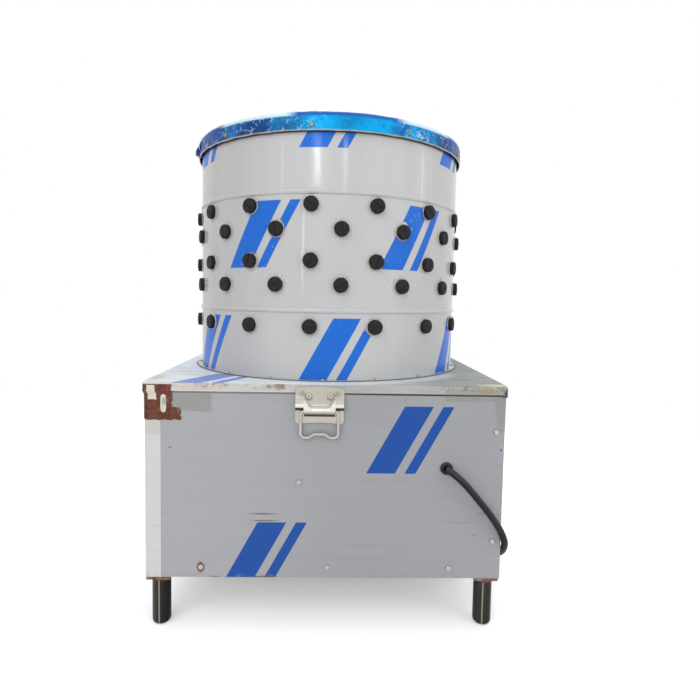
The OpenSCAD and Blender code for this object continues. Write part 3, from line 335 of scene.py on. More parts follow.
def make_film_print():
    """Pairs of plain leaning bars in staggered rows, as a mask."""
    made, t, src, out = new_group("film_print", ("Mask",), Across=0.0, Height=0.0, Pitch=PRINT_PITCH)
    row = t.math("DIVIDE", src["Height"], PRINT_ROW)
    stagger = t.math("FRACT", t.times(t.math("FLOOR", row), 0.5))
    column = t.plus(t.math("DIVIDE", src["Across"], src["Pitch"]), stagger)
    u = t.times(t.math("FRACT", column), t.math("DIVIDE", src["Pitch"], PRINT_SIZE))
    v = t.times(t.math("FRACT", row), PRINT_ROW / PRINT_SIZE)
    leaned = t.minus(u, t.times(v, PRINT_LEAN))
    bars = [t.band(leaned, low, high, PRINT_SOFT) for low, high in PRINT_BARS]
    tall = t.band(v, PRINT_SOFT, 1.0, PRINT_SOFT)
    t.feed(out["Mask"], t.times(t.plus(bars[0], bars[1]), tall))
    return made


def make_finger_row():
    """Distance from the nearest finger of one row, in metres along the drum's sheet."""
    made, t, src, out = new_group("finger_row", ("Distance",), Angle=0.0, Height=0.0, Turn=0.0, Row=0.0)
    pitch = 2 * math.pi / FINGERS
    turned = t.minus(src["Angle"], src["Turn"])
    nearest = t.times(t.math("ROUND", t.math("DIVIDE", turned, pitch)), pitch)
    across = t.times(t.minus(turned, nearest), DRUM_R)
    rise = t.minus(src["Height"], src["Row"])
    t.feed(out["Distance"], t.length(across, rise))
    return made


def make_spot():
    """Soft ragged mark about one point; Stretch scales the distance along each axis."""
    made, t, src, out = new_group("spot", ("Mask",), Place=ORIGIN, Centre=ORIGIN, Stretch=ROUND,
                                  Inner=0.004, Outer=0.01)
    away = t.vector("SUBTRACT", src["Place"], src["Centre"])["Vector"]
    flat = t.vector("MULTIPLY", away, src["Stretch"])["Vector"]
    far = t.vector("LENGTH", flat)["Value"]
    rough = t.noise(src["Place"], 260.0, 3.0)
    ragged = t.plus(far, t.times(t.minus(rough, 0.5), 0.006))
    t.feed(out["Mask"], t.ramp(ragged, src["Inner"], src["Outer"], 1.0, 0.0))
    return made


CLOUDY = make_cloudy()
STREAKS = make_rolled_streaks()
SCRATCHES = make_scratches()
FILM_PRINT = make_film_print()
FINGER_ROW = make_finger_row()
SPOT = make_spot()

PANEL_INK = (0.0, 0.066, 0.34)
GRIME = (0.30, 0.25, 0.17)
SOOT_AND_SHADE = (0.11, 0.09, 0.07)
RUST = (0.21, 0.075, 0.028)


class Surface(Tree):
    """A new material with one Principled shader."""

    def __init__(self, name, **sockets):
        self.material = bpy.data.materials.new(name)
        self.material.use_nodes = True
        super().__init__(self.material.node_tree)
        self.sockets = self.tree.nodes["Principled BSDF"].inputs
        for key, value in sockets.items():
            self.put(key.replace("_", " "), value)

    def put(self, key, value):
        self.feed(self.sockets[key], value)

    def done(self, colour, roughness, relief=None, strength=0.0, distance=0.0):
        """The material, once its colour, roughness and relief are joined to the shader."""
        self.put("Base Color", colour)
        self.put("Roughness", roughness)
        if relief is not None:
            bump = self.add("Bump", {"Height": relief, "Strength": strength, "Distance": distance})
            self.put("Normal", bump.outputs["Normal"])
        return self.material


def spotted(t, place, colour, spots):
    """A colour with soft marks, each a centre, stretch, inner and outer limit, tint and weight."""
    for centre, stretch, inner, outer, tint, weight in spots:
        mask = t.group(SPOT, Place=place, Centre=centre, Stretch=stretch, Inner=inner, Outer=outer)["Mask"]
        colour = t.mix(t.times(mask, weight), colour, tint)
    return colour


def shaded(t, colour, shade):
    """A colour times a shade value."""
    grey = t.add("CombineColor", {"Red": shade, "Green": shade, "Blue": shade}).outputs["Color"]
    return t.mix(1.0, colour, grey, "MULTIPLY")


def cloudy(t, patch, depth):
    return t.group(CLOUDY, Patch_Scale=patch, Depth=depth)


def axes_of(t):
    """Object coordinates, whole and split."""
    place = t.place()
    split = t.add("SeparateXYZ", {"Vector": place}).outputs
    return place, split["X"], split["Y"], split["Z"]


def round_the_drum(t, x, y, z):
    """Angle from the front, distance along the drum's sheet, and that sheet laid flat."""
    angle = t.math("ARCTAN2", x, t.times(y, -1.0))
    across = t.times(angle, DRUM_R)
    sheet = t.add("CombineXYZ", {"X": across, "Y": 0.0, "Z": z}).outputs["Vector"]
    return angle, across, sheet


# Materials


def crevice_shade_mask(t, size):
    """Painted shade in corners and gaps of about the given size, from ambient occlusion."""
    open_share = t.add("AmbientOcclusion", {"Distance": size}, samples=16).outputs["AO"]
    return t.ramp(open_share, 0.35, 0.85, 0.95, 0.0)


ZINC, OLD_ZINC = (0.58, 0.555, 0.51), (0.30, 0.25, 0.18)


def plain(name, colour, rough, patch, depth, grain, metallic=1.0, gloss=0.5, fine=0.0004,
          streak=None, shade_reach=0.0):
    """One colour with a broken tone and fine relief, and painted shade in crevices of a given size."""
    t = Surface(name, Metallic=metallic, Specular_IOR_Level=gloss)
    cloud = cloudy(t, patch, depth)
    tinted = shaded(t, colour, cloud["Shade"])
    # Painted shade: darker in crevices that ambient occlusion finds.
    if shade_reach:
        tinted = t.mix(crevice_shade_mask(t, shade_reach), tinted, SOOT_AND_SHADE)
    relief = cloud["Fine"]
    if streak:
        relief = t.group(STREAKS, Vector=t.place(), Scale=streak)["Streak"]
    return t.done(tinted, t.ramp(relief, 0.2, 0.8, *rough), relief, grain, fine)


RAW_PLATE = (0.24, 0.215, 0.18)
TORN_PALE = (0.56, 0.545, 0.51)
TORN_DIRTY = (0.40, 0.36, 0.29)


def mottled(name, metallic, size, detail, start, pale, dark, rough, strength, fine):
    """Patches of one colour on another, with a relief of the same pattern."""
    t = Surface(name, Metallic=metallic)
    patch = t.noise(t.place(), size, detail, 0.7)
    colour = t.mix(t.ramp(patch, start, 0.62), pale, dark)
    return t.done(colour, t.ramp(patch, 0.3, 0.7, *rough), patch, strength, fine)


NICKEL_PLATE = (0.54, 0.505, 0.44)
NICKEL_HOOD_HIGHLIGHT = (0.80, 0.78, 0.73)
NICKEL_HALF_SHADE = (0.52, 0.495, 0.44)
NICKEL_SLOT_SHADOW = (0.045, 0.043, 0.041)
NICKEL_SHADE = (0.20, 0.185, 0.155)


def pressed_nickel():
    """Handle sheet: warm plating, with a painted highlight on the raised hood, painted shade on its bends and
    round the rivets, and painted shadow under the hood's lip and wings.
    """
    t = Surface("warm_nickel", Metallic=1.0)
    _, x, y, z = axes_of(t)
    cloud = cloudy(t, 22.0, 0.2)
    depth = t.math("ABSOLUTE", y)
    # Painted highlight: the raised hood brighter than the plate.
    colour = t.mix(t.ramp(depth, HOOD_BACK, HOOD_FRONT), NICKEL_PLATE, NICKEL_HOOD_HIGHLIGHT)
    colour = shaded(t, colour, cloud["Shade"])
    aside = t.math("MULTIPLY_ADD", x, t.math("SIGN", t.times(y, -1.0)), HANDLE_OFF)
    aside = t.math("ABSOLUTE", aside)
    half = t.add("CombineXYZ", {"X": aside, "Z": z}).outputs["Vector"]
    # Painted shade round the rivets and a painted reflection beside them.
    colour = spotted(t, half, colour, RIVET_SHADE_SPOTS)
    middle = t.ramp(aside, HOOD_TAB - 0.001, HOOD_TAB + 0.001, 1.0, 0.0)
    wings = t.minus(1.0, middle)
    # Painted shade: duller bands on the bends of the hood's lip and wings.
    half_shade = t.times(t.band(z, *LIP_HALF_SHADE, 0.0009), middle)
    half_shade = t.math("MULTIPLY_ADD", t.band(z, *WING_HALF_SHADE, 0.0012), t.times(wings, 0.75), half_shade)
    half_shade = t.times(half_shade, t.ramp(depth, HOOD_BACK, HOOD_FRONT))
    colour = t.mix(half_shade, colour, NICKEL_HALF_SHADE)
    # Painted shadow: dark bands under the hood's lip and wings.
    under_lip = t.times(t.band(z, *LIP_SHADE, 0.0006), middle)
    under_wing = t.times(t.band(z, *WING_SHADE, 0.0006), wings)
    slot_shadow = t.times(t.plus(under_lip, under_wing), t.ramp(depth, *SLOT_DEPTH, 0.95, 0.0))
    rough = t.ramp(cloud["Shade"], 0.95, 1.05, 0.24, 0.34)
    return t.done(t.mix(slot_shadow, colour, NICKEL_SLOT_SHADOW), rough)


SHEATH = (0.006, 0.006, 0.007)
SHEATH_TOP_LIGHT = (0.034, 0.034, 0.037)


def cord_sheath():
    """Black cord sheath, with a painted highlight on the faces that look up."""
    t = Surface("cord_sheath", Metallic=0.0, Specular_IOR_Level=0.3)
    cloud = cloudy(t, 30.0, 0.8)
    upward = t.add("SeparateXYZ", {"Vector": t.add("NewGeometry").outputs["Normal"]}).outputs["Z"]
    # Painted highlight: the faces that look up lighter.
    painted_light = t.times(t.ramp(upward, -0.2, 0.8), cloud["Shade"])
    rough = t.ramp(cloud["Fine"], 0.2, 0.8, 0.3, 0.5)
    return t.done(t.mix(painted_light, SHEATH, SHEATH_TOP_LIGHT), rough, cloud["Fine"], 0.1, 0.0006)


def finger_distance(t, angle, z):
    """Distance from the nearest finger of the drum."""
    nearest = None
    for row, height in enumerate(ROW_HEIGHTS):
        turn = math.radians(ROW_TURN + (ROW_SHIFT if row % 2 else 0.0))
        ring = t.group(FINGER_ROW, Angle=angle, Height=z, Turn=turn, Row=STAND_TOP + height)["Distance"]
        nearest = ring if nearest is None else t.math("MINIMUM", nearest, ring)
    return nearest


DRUM_INK = (0.0, 0.13, 0.60)
DRUM_GREY = (0.512, 0.515, 0.522)
DRUM_LEFT_SHADE = (0.435, 0.423, 0.412)
DRUM_GLINT = (0.82, 0.82, 0.82)
DRUM_CREASE_HIGHLIGHT = (0.80, 0.77, 0.75)
DRUM_REFLECTION = (0.74, 0.74, 0.73)
DRUM_SCRATCH = (0.2, 0.19, 0.18)
DRUM_EDGE_SHADOW = (0.10, 0.078, 0.06)
DRUM_INSIDE = (0.50, 0.505, 0.51)
# Painted highlight line: where it runs along the sheet, and its height span
HIGHLIGHT_LINE_AT, HIGHLIGHT_LINE_SPAN = (-0.0405, -0.0365), (0.60, 0.735)
# Painted reflections, faint pale upright lines on the drum's film: angle from the front, half width along the
# sheet, weight
DRUM_REFLECTION_LINES = ((-0.305, 0.0010, 0.35), (0.095, 0.0035, 0.30), (0.660, 0.0016, 0.45), (0.752, 0.0012, 0.40))
REFLECTION_SPAN = (0.755, 0.850)
DRUM_PRINT = (0.055, 0.008)
UNDER_RIM_SHADOW = (0.8596, 0.8612)


def drum_film():
    """Rolled sheet: outside under printed film, puckered and stained round the fingers, with painted shade
    towards the left, painted highlight lines and glints, and painted shadow under the rim and along the
    flange; inside brushed.
    """
    t = Surface("drum_film", Coat_Roughness=0.12, Specular_IOR_Level=0.2)
    place, x, y, z = axes_of(t)
    angle, across, sheet = round_the_drum(t, x, y, z)
    distance = finger_distance(t, angle, z)
    radial = t.add("CombineXYZ", {"X": x, "Y": y, "Z": 0.0}).outputs["Vector"]
    normal = t.add("NewGeometry").outputs["True Normal"]
    facing = t.vector("DOT_PRODUCT", normal, radial)["Value"]
    outside = t.ramp(facing, -0.02, 0.02)

    cloud = cloudy(t, 4.0, 0.07)
    upright = t.noise(sheet, 26.0, 2.0, 0.5, (1.0, 1.0, 0.03))
    tone = t.times(cloud["Shade"], t.ramp(upright, 0.3, 0.7, 0.985, 1.015))
    colour = shaded(t, DRUM_GREY, tone)
    # Painted shade: the left of the drum darker and warmer.
    left_shade = t.ramp(across, -0.34, -0.06, 0.8, 0.0)
    colour = t.mix(left_shade, colour, shaded(t, DRUM_LEFT_SHADE, tone))
    height = t.minus(z, STAND_TOP - DRUM_PRINT[1])
    ink = t.group(FILM_PRINT, Across=t.plus(across, DRUM_PRINT[0]), Height=height)["Mask"]
    radius = t.length(x, y)
    ink = t.times(ink, t.ramp(radius, DRUM_R + 0.0006, DRUM_R + 0.0016, 1.0, 0.0))
    worn = t.ramp(t.noise(place, 120.0, 3.0), 0.28, 0.36, 0.86, 0.98)
    colour = t.mix(t.times(ink, worn), colour, DRUM_INK)
    rough_edge = t.times(t.minus(t.noise(place, 300.0, 2.0), 0.5), 0.006)
    stain = t.ramp(t.plus(distance, rough_edge), 0.0135, 0.020, 0.26, 0.0)
    colour = t.mix(stain, colour, GRIME)
    # Painted glints: pale specks near the fingers.
    glints = t.ramp(t.noise(place, 300.0, 2.0, 0.6), 0.655, 0.70)
    beside = t.times(t.ramp(distance, 0.018, 0.045, 1.0, 0.0), t.ramp(t.noise(place, 13.0), 0.46, 0.6))
    colour = t.mix(t.times(glints, beside), colour, DRUM_GLINT)
    # Painted highlight: a thin pale upright line just left of the front.
    crease = t.plus(across, t.times(t.noise(sheet, 9.0, 1.0), 0.012))
    crease = t.times(t.band(crease, *HIGHLIGHT_LINE_AT, 0.0012), t.band(z, *HIGHLIGHT_LINE_SPAN, 0.03))
    colour = t.mix(t.times(crease, 0.45), colour, DRUM_CREASE_HIGHLIGHT)
    # Painted reflections: faint pale upright lines on the upper drum.
    upper = t.band(z, *REFLECTION_SPAN, 0.02)
    for turn, half, weight in DRUM_REFLECTION_LINES:
        reflection_line = t.band(t.minus(across, turn * DRUM_R), -half, half, half)
        reflection_line = t.times(reflection_line, t.times(upper, weight))
        colour = t.mix(reflection_line, colour, DRUM_REFLECTION)
    marks = t.group(SCRATCHES, Vector=sheet, Scale=30.0, Amount=0.12)["Mask"]
    colour = t.mix(t.times(marks, 0.3), colour, DRUM_SCRATCH)
    # Painted shadow: a dark line under the rim and along the flange's edge.
    edge = t.math("MAXIMUM", t.ramp(z, *UNDER_RIM_SHADOW), t.ramp(radius, FLANGE_R - 0.0006, FLANGE_R - 0.0002))
    colour = t.mix(t.times(edge, 0.85), colour, DRUM_EDGE_SHADOW)

    brushed = t.group(STREAKS, Vector=sheet, Scale=160.0)["Streak"]
    bare = shaded(t, DRUM_INSIDE, t.ramp(brushed, 0.25, 0.75, 0.85, 1.12))
    t.put("Metallic", t.ramp(outside, 0.0, 1.0, 0.85, 0.1))
    film_rough = t.ramp(cloud["Fine"], 0.3, 0.7, 0.30, 0.38)
    bare_rough = t.ramp(brushed, 0.2, 0.8, 0.28, 0.42)
    gap = t.minus(film_rough, bare_rough)
    gloss = t.times(t.ramp(upright, 0.3, 0.7, 0.35, 0.55), t.ramp(ink, 0.0, 1.0, 1.0, 0.25))
    t.put("Coat Weight", t.times(outside, gloss))
    pucker = t.times(t.ramp(distance, 0.013, 0.036, 1.0, 0.0), t.noise(place, 130.0, 4.0, 0.65))
    wave = t.times(t.noise(sheet, 8.0, 2.0), 0.25)
    rough = t.math("MULTIPLY_ADD", gap, outside, bare_rough)
    return t.done(t.mix(outside, bare, colour), rough, t.plus(pucker, wave), 0.3, 0.0014)


PANEL_SCRATCH = (0.16, 0.14, 0.12)


def panel_film(name, tone, along, shift=0.0, spots=(), dim=0.0, pitch=WIDE_PITCH, sink=0.0):
    """Flat sheet under film. The print runs along X or Y, moved by shift and sink; dim darkens one end."""
    t = Surface(name, Metallic=0.15, Coat_Roughness=0.25, Specular_IOR_Level=0.2)
    place, x, y, z = axes_of(t)
    run = x if along == "X" else y
    cloud = cloudy(t, 5.0, 0.08)
    level = t.group(STREAKS, Vector=place, Scale=90.0)["Streak"]
    shade = t.times(cloud["Shade"], t.ramp(level, 0.25, 0.75, 0.975, 1.025))
    shade = t.times(shade, t.ramp(run, -0.2, 0.08, 1.0, 1.0 - dim))
    colour = shaded(t, tone, shade)
    height = t.minus(z, STAND_FOOT + 0.015 - sink)
    ink = t.group(FILM_PRINT, Across=t.plus(run, shift), Height=height, Pitch=pitch)["Mask"]
    if along == "Y":
        ink = t.times(ink, t.ramp(t.math("ABSOLUTE", x), SKIN - 0.001, SKIN - 0.0005))
    colour = t.mix(t.times(ink, 0.96), colour, PANEL_INK)
    marks = t.group(SCRATCHES, Vector=place, Scale=26.0, Amount=0.14)["Mask"]
    colour = t.mix(t.times(marks, 0.4), colour, PANEL_SCRATCH)
    edge_noise = t.noise(place, 90.0, 4.0, 0.7)
    foot = t.ramp(z, STAND_FOOT, STAND_FOOT + 0.009, 1.0, 0.0)
    foot = t.times(foot, t.ramp(edge_noise, 0.5, 0.66))
    colour = t.mix(t.times(foot, 0.6), colour, GRIME)
    colour = spotted(t, place, colour, spots)
    t.put("Coat Weight", t.ramp(ink, 0.0, 1.0, 0.15, 0.03))
    wave = t.plus(t.times(t.noise(place, 6.0, 2.0), 0.6), t.times(level, 0.03))
    return t.done(colour, t.ramp(level, 0.2, 0.8, 0.36, 0.46), wave, 0.2, 0.002)


PLATE_LEFT = (0.67, 0.725, 0.745)
PLATE_RIGHT = (0.27, 0.285, 0.275)
PLATE_OLIVE = (0.28, 0.31, 0.22)
PLATE_DRUM_REFLECTION = (0.70, 0.76, 0.83)
PLATE_INK = (0.03, 0.12, 0.55)
PLATE_GAP_SHADOW = (0.10, 0.085, 0.06)
LIP_LEFT = (0.56, 0.54, 0.53)
LIP_RIGHT = (0.42, 0.42, 0.415)
LIP_FLECK = (0.20, 0.15, 0.09)
LIP_HEM_HIGHLIGHT = (0.66, 0.61, 0.53)
LIP_EDGE = (0.78, 0.76, 0.60)
FLECKED = ((-0.25, -0.165, 0.02), (-0.135, -0.06, 0.015), (0.2, 0.32, 0.01))
PLATE_PRINT = (0.27, 0.33)


def plate_film():
    """Top plate: pale bluish film with level streaks, greyer to the right, with a painted reflection of the
    drum beside it and a painted shadow round the drum's flange; a worn, flecked lip below with a painted
    highlight along its hem.
    """
    t = Surface("plate_film", Metallic=0.0, Specular_IOR_Level=0.05)
    place, x, y, z = axes_of(t)
    cloud = cloudy(t, 7.0, 0.2)
    level = t.noise(place, 22.0, 4.0, 0.65, (0.25, 2.2, 1.0))
    shade = t.times(cloud["Shade"], t.ramp(level, 0.3, 0.7, 0.80, 1.12))
    colour = shaded(t, t.mix(t.ramp(x, -0.1, 0.3), PLATE_LEFT, PLATE_RIGHT), shade)
    olive = t.ramp(t.noise(place, 16.0, 4.0, 0.6, (0.5, 1.6, 1.0)), 0.56, 0.7)
    olive = t.times(olive, t.ramp(x, 0.1, 0.25, 0.35, 0.65))
    colour = t.mix(olive, colour, PLATE_OLIVE)
    radius = t.length(x, y)
    # Painted reflection of the drum: a pale band round it on the plate.
    beside = t.times(t.band(radius, *DRUM_REFLECTION_RING, 0.012), t.ramp(x, 0.22, 0.26, 0.42, 0.0))
    colour = t.mix(beside, colour, PLATE_DRUM_REFLECTION)
    across, height = t.plus(x, PLATE_PRINT[0]), t.plus(y, PLATE_PRINT[1])
    ink = t.group(FILM_PRINT, Across=across, Height=height, Pitch=WIDE_PITCH)["Mask"]
    colour = t.mix(t.times(ink, 0.72), colour, PLATE_INK)
    colour = spotted(t, place, colour, PLATE_SPOTS)
    # Painted shadow: a dark ring on the plate just outside the drum's flange.
    gap = t.ramp(radius, FLANGE_R + 0.0022, FLANGE_R + 0.0040, 0.8, 0.0)
    colour = t.mix(gap, colour, PLATE_GAP_SHADOW)

    lip_shade = t.ramp(t.noise(place, 30.0, 3.0, 0.6, (0.3, 0.3, 1.0)), 0.3, 0.7, 0.88, 1.06)
    lip = shaded(t, t.mix(t.ramp(x, -0.12, 0.08), LIP_LEFT, LIP_RIGHT), lip_shade)
    flecks = t.ramp(t.noise(place, 150.0, 4.0, 0.75), 0.51, 0.60)
    upper = t.band(z, LIP_FOOT + 0.006, STAND_TOP + 0.01, 0.002)
    worn = t.times(flecks, t.times(t.bands(x, FLECKED), upper))
    lip = t.mix(t.times(worn, 0.75), lip, LIP_FLECK)
    # Painted highlight: a warm pale line along the lip's hem, stronger to the left.
    hem = t.ramp(z, LIP_FOOT + 0.0016, LIP_FOOT + 0.0028, 1.0, 0.0)
    lip = t.mix(t.times(hem, t.ramp(x, -0.14, -0.04, 0.8, 0.1)), lip, LIP_HEM_HIGHLIGHT)
    upper_edge = t.times(t.ramp(z, *LIP_BEND), t.ramp(x, -0.272, -0.255, 0.8, 0.0))
    lip = t.mix(upper_edge, lip, LIP_EDGE)
    lip = spotted(t, place, lip, LIP_SPOTS)
    colour = t.mix(t.ramp(z, STAND_TOP - 0.0014, STAND_TOP - 0.0006), lip, colour)
    rough = t.ramp(level, 0.3, 0.7, 0.4, 0.5)
    relief = t.plus(t.noise(place, 14.0, 3.0), t.times(flecks, 0.1))
    return t.done(colour, rough, relief, 0.3, 0.002)


RIM_DARK = (0.012, 0.050, 0.19)
RIM_BRIGHT = (0.0, 0.37, 0.78)
RIM_VIOLET = (0.010, 0.085, 0.36)
RIM_FOLD = (0.006, 0.06, 0.26)
RIDGE_DIM = (0.02, 0.09, 0.42)
RIDGE_HIGHLIGHT = (0.72, 0.90, 0.97)
RIM_CREASE = (0.50, 0.72, 0.92)
RIM_STEEL = (0.42, 0.38, 0.33)
RIDGE_HIGHLIGHT_SPANS = ((-0.78, -0.24, 0.05), (0.46, 0.92, 0.06))
CREASED = ((-1.2, -0.1, 0.1), (0.4, 1.1, 0.06))


def rim_film():
    """Vivid blue film drawn over the rim, with dark folds and thin pale creases, a painted sheen brighter at
    the front and painted highlights along its crown; bare steel at its foot.
    """
    t = Surface("rim_film", Coat_Weight=0.05, Coat_Roughness=0.1, Specular_IOR_Level=0.1)
    _, x, y, z = axes_of(t)
    angle, _, sheet = round_the_drum(t, x, y, z)
    broad = t.noise(sheet, 18.0, 3.0, 0.6)
    folds = t.noise(sheet, 70.0, 4.0, 0.7)
    turn = t.math("ABSOLUTE", angle)
    # Painted sheen: the film brighter at the front and darker towards the sides.
    front_sheen = t.ramp(t.math("ABSOLUTE", t.minus(angle, 0.25)), 0.15, 0.75, 0.95, 0.04)
    tone = t.math("MULTIPLY_ADD", t.minus(broad, 0.5), 2.4, front_sheen, clamp=True)
    colour = t.mix(tone, RIM_DARK, RIM_BRIGHT)
    violet = t.times(t.ramp(t.noise(sheet, 34.0, 2.0), 0.46, 0.56), t.ramp(turn, 0.2, 0.5, 0.0, 0.7))
    colour = t.mix(violet, colour, RIM_VIOLET)
    colour = t.mix(t.times(t.ramp(folds, 0.52, 0.7), 0.4), colour, RIM_FOLD)
    # Painted highlight: pale bands along the crown at the left and right.
    ridge_highlight = t.bands(angle, RIDGE_HIGHLIGHT_SPANS)
    ridge = t.ramp(z, RIM_TOP - 0.010, RIM_TOP - 0.006)
    ridge = t.times(ridge, t.ramp(turn, 0.95, 1.1, 0.85, 0.0))
    colour = t.mix(ridge, colour, t.mix(ridge_highlight, RIDGE_DIM, RIDGE_HIGHLIGHT))
    wobble = t.add("TexNoise", {"Vector": sheet, "Scale": 120.0, "Detail": 2.0}).outputs["Color"]
    bent = t.vector("MULTIPLY_ADD", wobble, (0.014, 0.014, 0.014), sheet)["Vector"]
    cells = t.add("TexVoronoi", {"Vector": bent, "Scale": 80.0}, feature="DISTANCE_TO_EDGE")
    thread = cells.outputs["Distance"]
    patches = t.times(t.ramp(t.noise(sheet, 52.0, 3.0), 0.47, 0.62), t.bands(angle, CREASED))
    creased = t.times(t.ramp(thread, 0.01, 0.06, 1.0, 0.0), patches)
    colour = t.mix(t.times(creased, 0.8), colour, RIM_CREASE)
    steel = t.ramp(z, RIM_TOP - RIM_HEIGHT + 0.0008, RIM_TOP - RIM_HEIGHT + 0.0014, 1.0, 0.0)
    colour = t.mix(steel, colour, RIM_STEEL)
    t.put("Metallic", t.ramp(steel, 0.0, 1.0, 0.2, 0.9))
    rough = t.ramp(folds, 0.3, 0.7, 0.25, 0.42)
    return t.done(colour, rough, t.minus(folds, t.times(creased, 0.2)), 0.2, 0.001)


LEG_DARK = (0.036, 0.033, 0.029)
LEG_HIGHLIGHT = (0.50, 0.43, 0.36)
LEG_HEAT = (0.16, 0.085, 0.045)
HIGHLIGHT_BAND, HIGHLIGHT_SHIFT = (-0.0026, -0.0010), 0.002


def leg_steel():
    """Dark polished tube with a painted highlight line and painted shade on one side, browned where it is
    welded on.
    """
    t = Surface("leg_steel", Coat_Weight=0.1, Coat_Roughness=0.15, Specular_IOR_Level=0.2)
    place, x, _, z = axes_of(t)
    cloud = cloudy(t, 30.0, 0.4)
    # Painted shade: each leg darker towards its +X side.
    aside = t.minus(x, t.times(t.math("SIGN", x), LEG_AT))
    tone = t.times(cloud["Shade"], t.ramp(aside, -0.006, 0.014, 1.15, 0.4))
    colour = shaded(t, LEG_DARK, tone)
    # Painted highlight: a pale upright line on each leg.
    highlight_line = t.band(t.math("MULTIPLY_ADD", t.math("SIGN", x), HIGHLIGHT_SHIFT, aside), *HIGHLIGHT_BAND, 0.0009)
    colour = t.mix(t.times(highlight_line, 0.85), colour, LEG_HIGHLIGHT)
    ragged = t.times(t.minus(t.noise(place, 140.0, 4.0), 0.5), 0.02)
    heat = t.ramp(t.plus(z, ragged), *WELD_HEAT)
    colour = t.mix(t.times(heat, 0.85), colour, LEG_HEAT)
    t.put("Metallic", t.ramp(heat, 0.0, 1.0, 0.5, 0.2))
    return t.done(colour, t.ramp(heat, 0.0, 1.0, 0.2, 0.65), cloud["Fine"], 0.05, 0.0004)


FRAME_DARK = (0.082, 0.056, 0.046)
FRAME_GAP_LIGHT = (0.36, 0.335, 0.305)


def frame_paint():
    """Dark frame paint, with painted light along the left half of the gap below the front lip."""
    t = Surface("frame_paint", Metallic=0.1)
    _, x, y, z = axes_of(t)
    cloud = cloudy(t, 14.0, 0.4)
    gap = t.times(t.band(z, PANEL_TOP - 0.006, LIP_FOOT + 0.006, 0.002), t.ramp(y, -0.30, -0.28, 1.0, 0.0))
    # Painted light: the frame paler along the left half of the gap below the lip.
    painted_light = t.times(gap, t.ramp(x, -0.09, 0.10, 0.9, 0.0))
    colour = t.mix(painted_light, FRAME_DARK, FRAME_GAP_LIGHT)
    rough = t.ramp(cloud["Shade"], 0.8, 1.2, 0.42, 0.62)
    return t.done(shaded(t, colour, cloud["Shade"]), rough, cloud["Fine"], 0.05, 0.001)


TAPE_BROWN = (0.135, 0.037, 0.021)
TAPE_FOLD_SHADE = (0.050, 0.011, 0.007)
TAPE_CREASE_HIGHLIGHT = (0.36, 0.19, 0.15)
TAPE_LINE_HIGHLIGHT = (0.44, 0.26, 0.21)


def parcel_tape():
    """Glossy brown-red tape with painted shade in its folds and round the corner, and painted highlights on
    its creases.
    """
    t = Surface("parcel_tape", Metallic=0.0, Coat_Weight=0.1, Specular_IOR_Level=0.25)
    place, x, _, _ = axes_of(t)
    cloud = cloudy(t, 34.0, 1.5)
    colour = shaded(t, TAPE_BROWN, cloud["Shade"])
    # Painted shade: dark folds, and the part round the corner darker.
    fold_shade = t.ramp(t.noise(place, 75.0, 3.0, 0.6, (1.0, 1.0, 0.3)), 0.36, 0.52, 0.75, 0.0)
    fold_shade = t.math("MAXIMUM", fold_shade, t.ramp(x, *TAPE_SIDE_SHADE, 0.65, 0.0))
    colour = t.mix(fold_shade, colour, TAPE_FOLD_SHADE)
    # Painted highlights: pale creases on the tape.
    crease_highlight = t.ramp(t.noise(place, 110.0, 4.0, 0.7, (1.0, 1.0, 0.3)), 0.56, 0.66)
    colour = t.mix(t.times(crease_highlight, 0.5), colour, TAPE_CREASE_HIGHLIGHT)
    # Painted highlight: thin pale lines on the tape.
    thread = t.math("ABSOLUTE", t.minus(t.noise(place, 55.0, 2.0, 0.5), 0.5))
    colour = t.mix(t.ramp(thread, 0.003, 0.014, 0.3, 0.0), colour, TAPE_LINE_HIGHLIGHT)
    rough = t.ramp(crease_highlight, 0.0, 1.0, 0.34, 0.5)
    return t.done(colour, rough, t.noise(place, 90.0, 4.0, 0.65), 0.7, 0.0015)


CREAM = (0.66, 0.61, 0.52)


def scrap_paper():
    """Plain cream paper, greyed in places."""
    t = Surface("scrap_paper", Metallic=0.0)
    cloud = cloudy(t, 90.0, 0.5)
    colour = spotted(t, t.place(), shaded(t, CREAM, cloud["Shade"]), PAPER_SPOTS)
    return t.done(colour, t.ramp(cloud["Fine"], 0.2, 0.8, 0.6, 0.85), cloud["Fine"], 0.2, 0.0006)


def clear_film(name, colour, alpha, see_through=0.0, over_gap=None):
    """Loose clear film that tints what lies under it, less so over the gap below the lip's right half."""
    t = Surface(name, Metallic=0.0, Alpha=alpha, Transmission_Weight=see_through)
    place, x, _, z = axes_of(t)
    if over_gap is not None:
        gap = t.times(t.band(z, LIP_FOOT - 0.003, LIP_FOOT, 0.001), t.ramp(x, 0.0, 0.01))
        t.put("Alpha", t.ramp(gap, 0.0, 1.0, alpha, over_gap))
    cloud = cloudy(t, 35.0, 0.3)
    rough = t.ramp(cloud["Fine"], 0.2, 0.8, 0.18, 0.4)
    return t.done(shaded(t, colour, cloud["Shade"]), rough, t.noise(place, 60.0, 3.0), 0.3, 0.001)


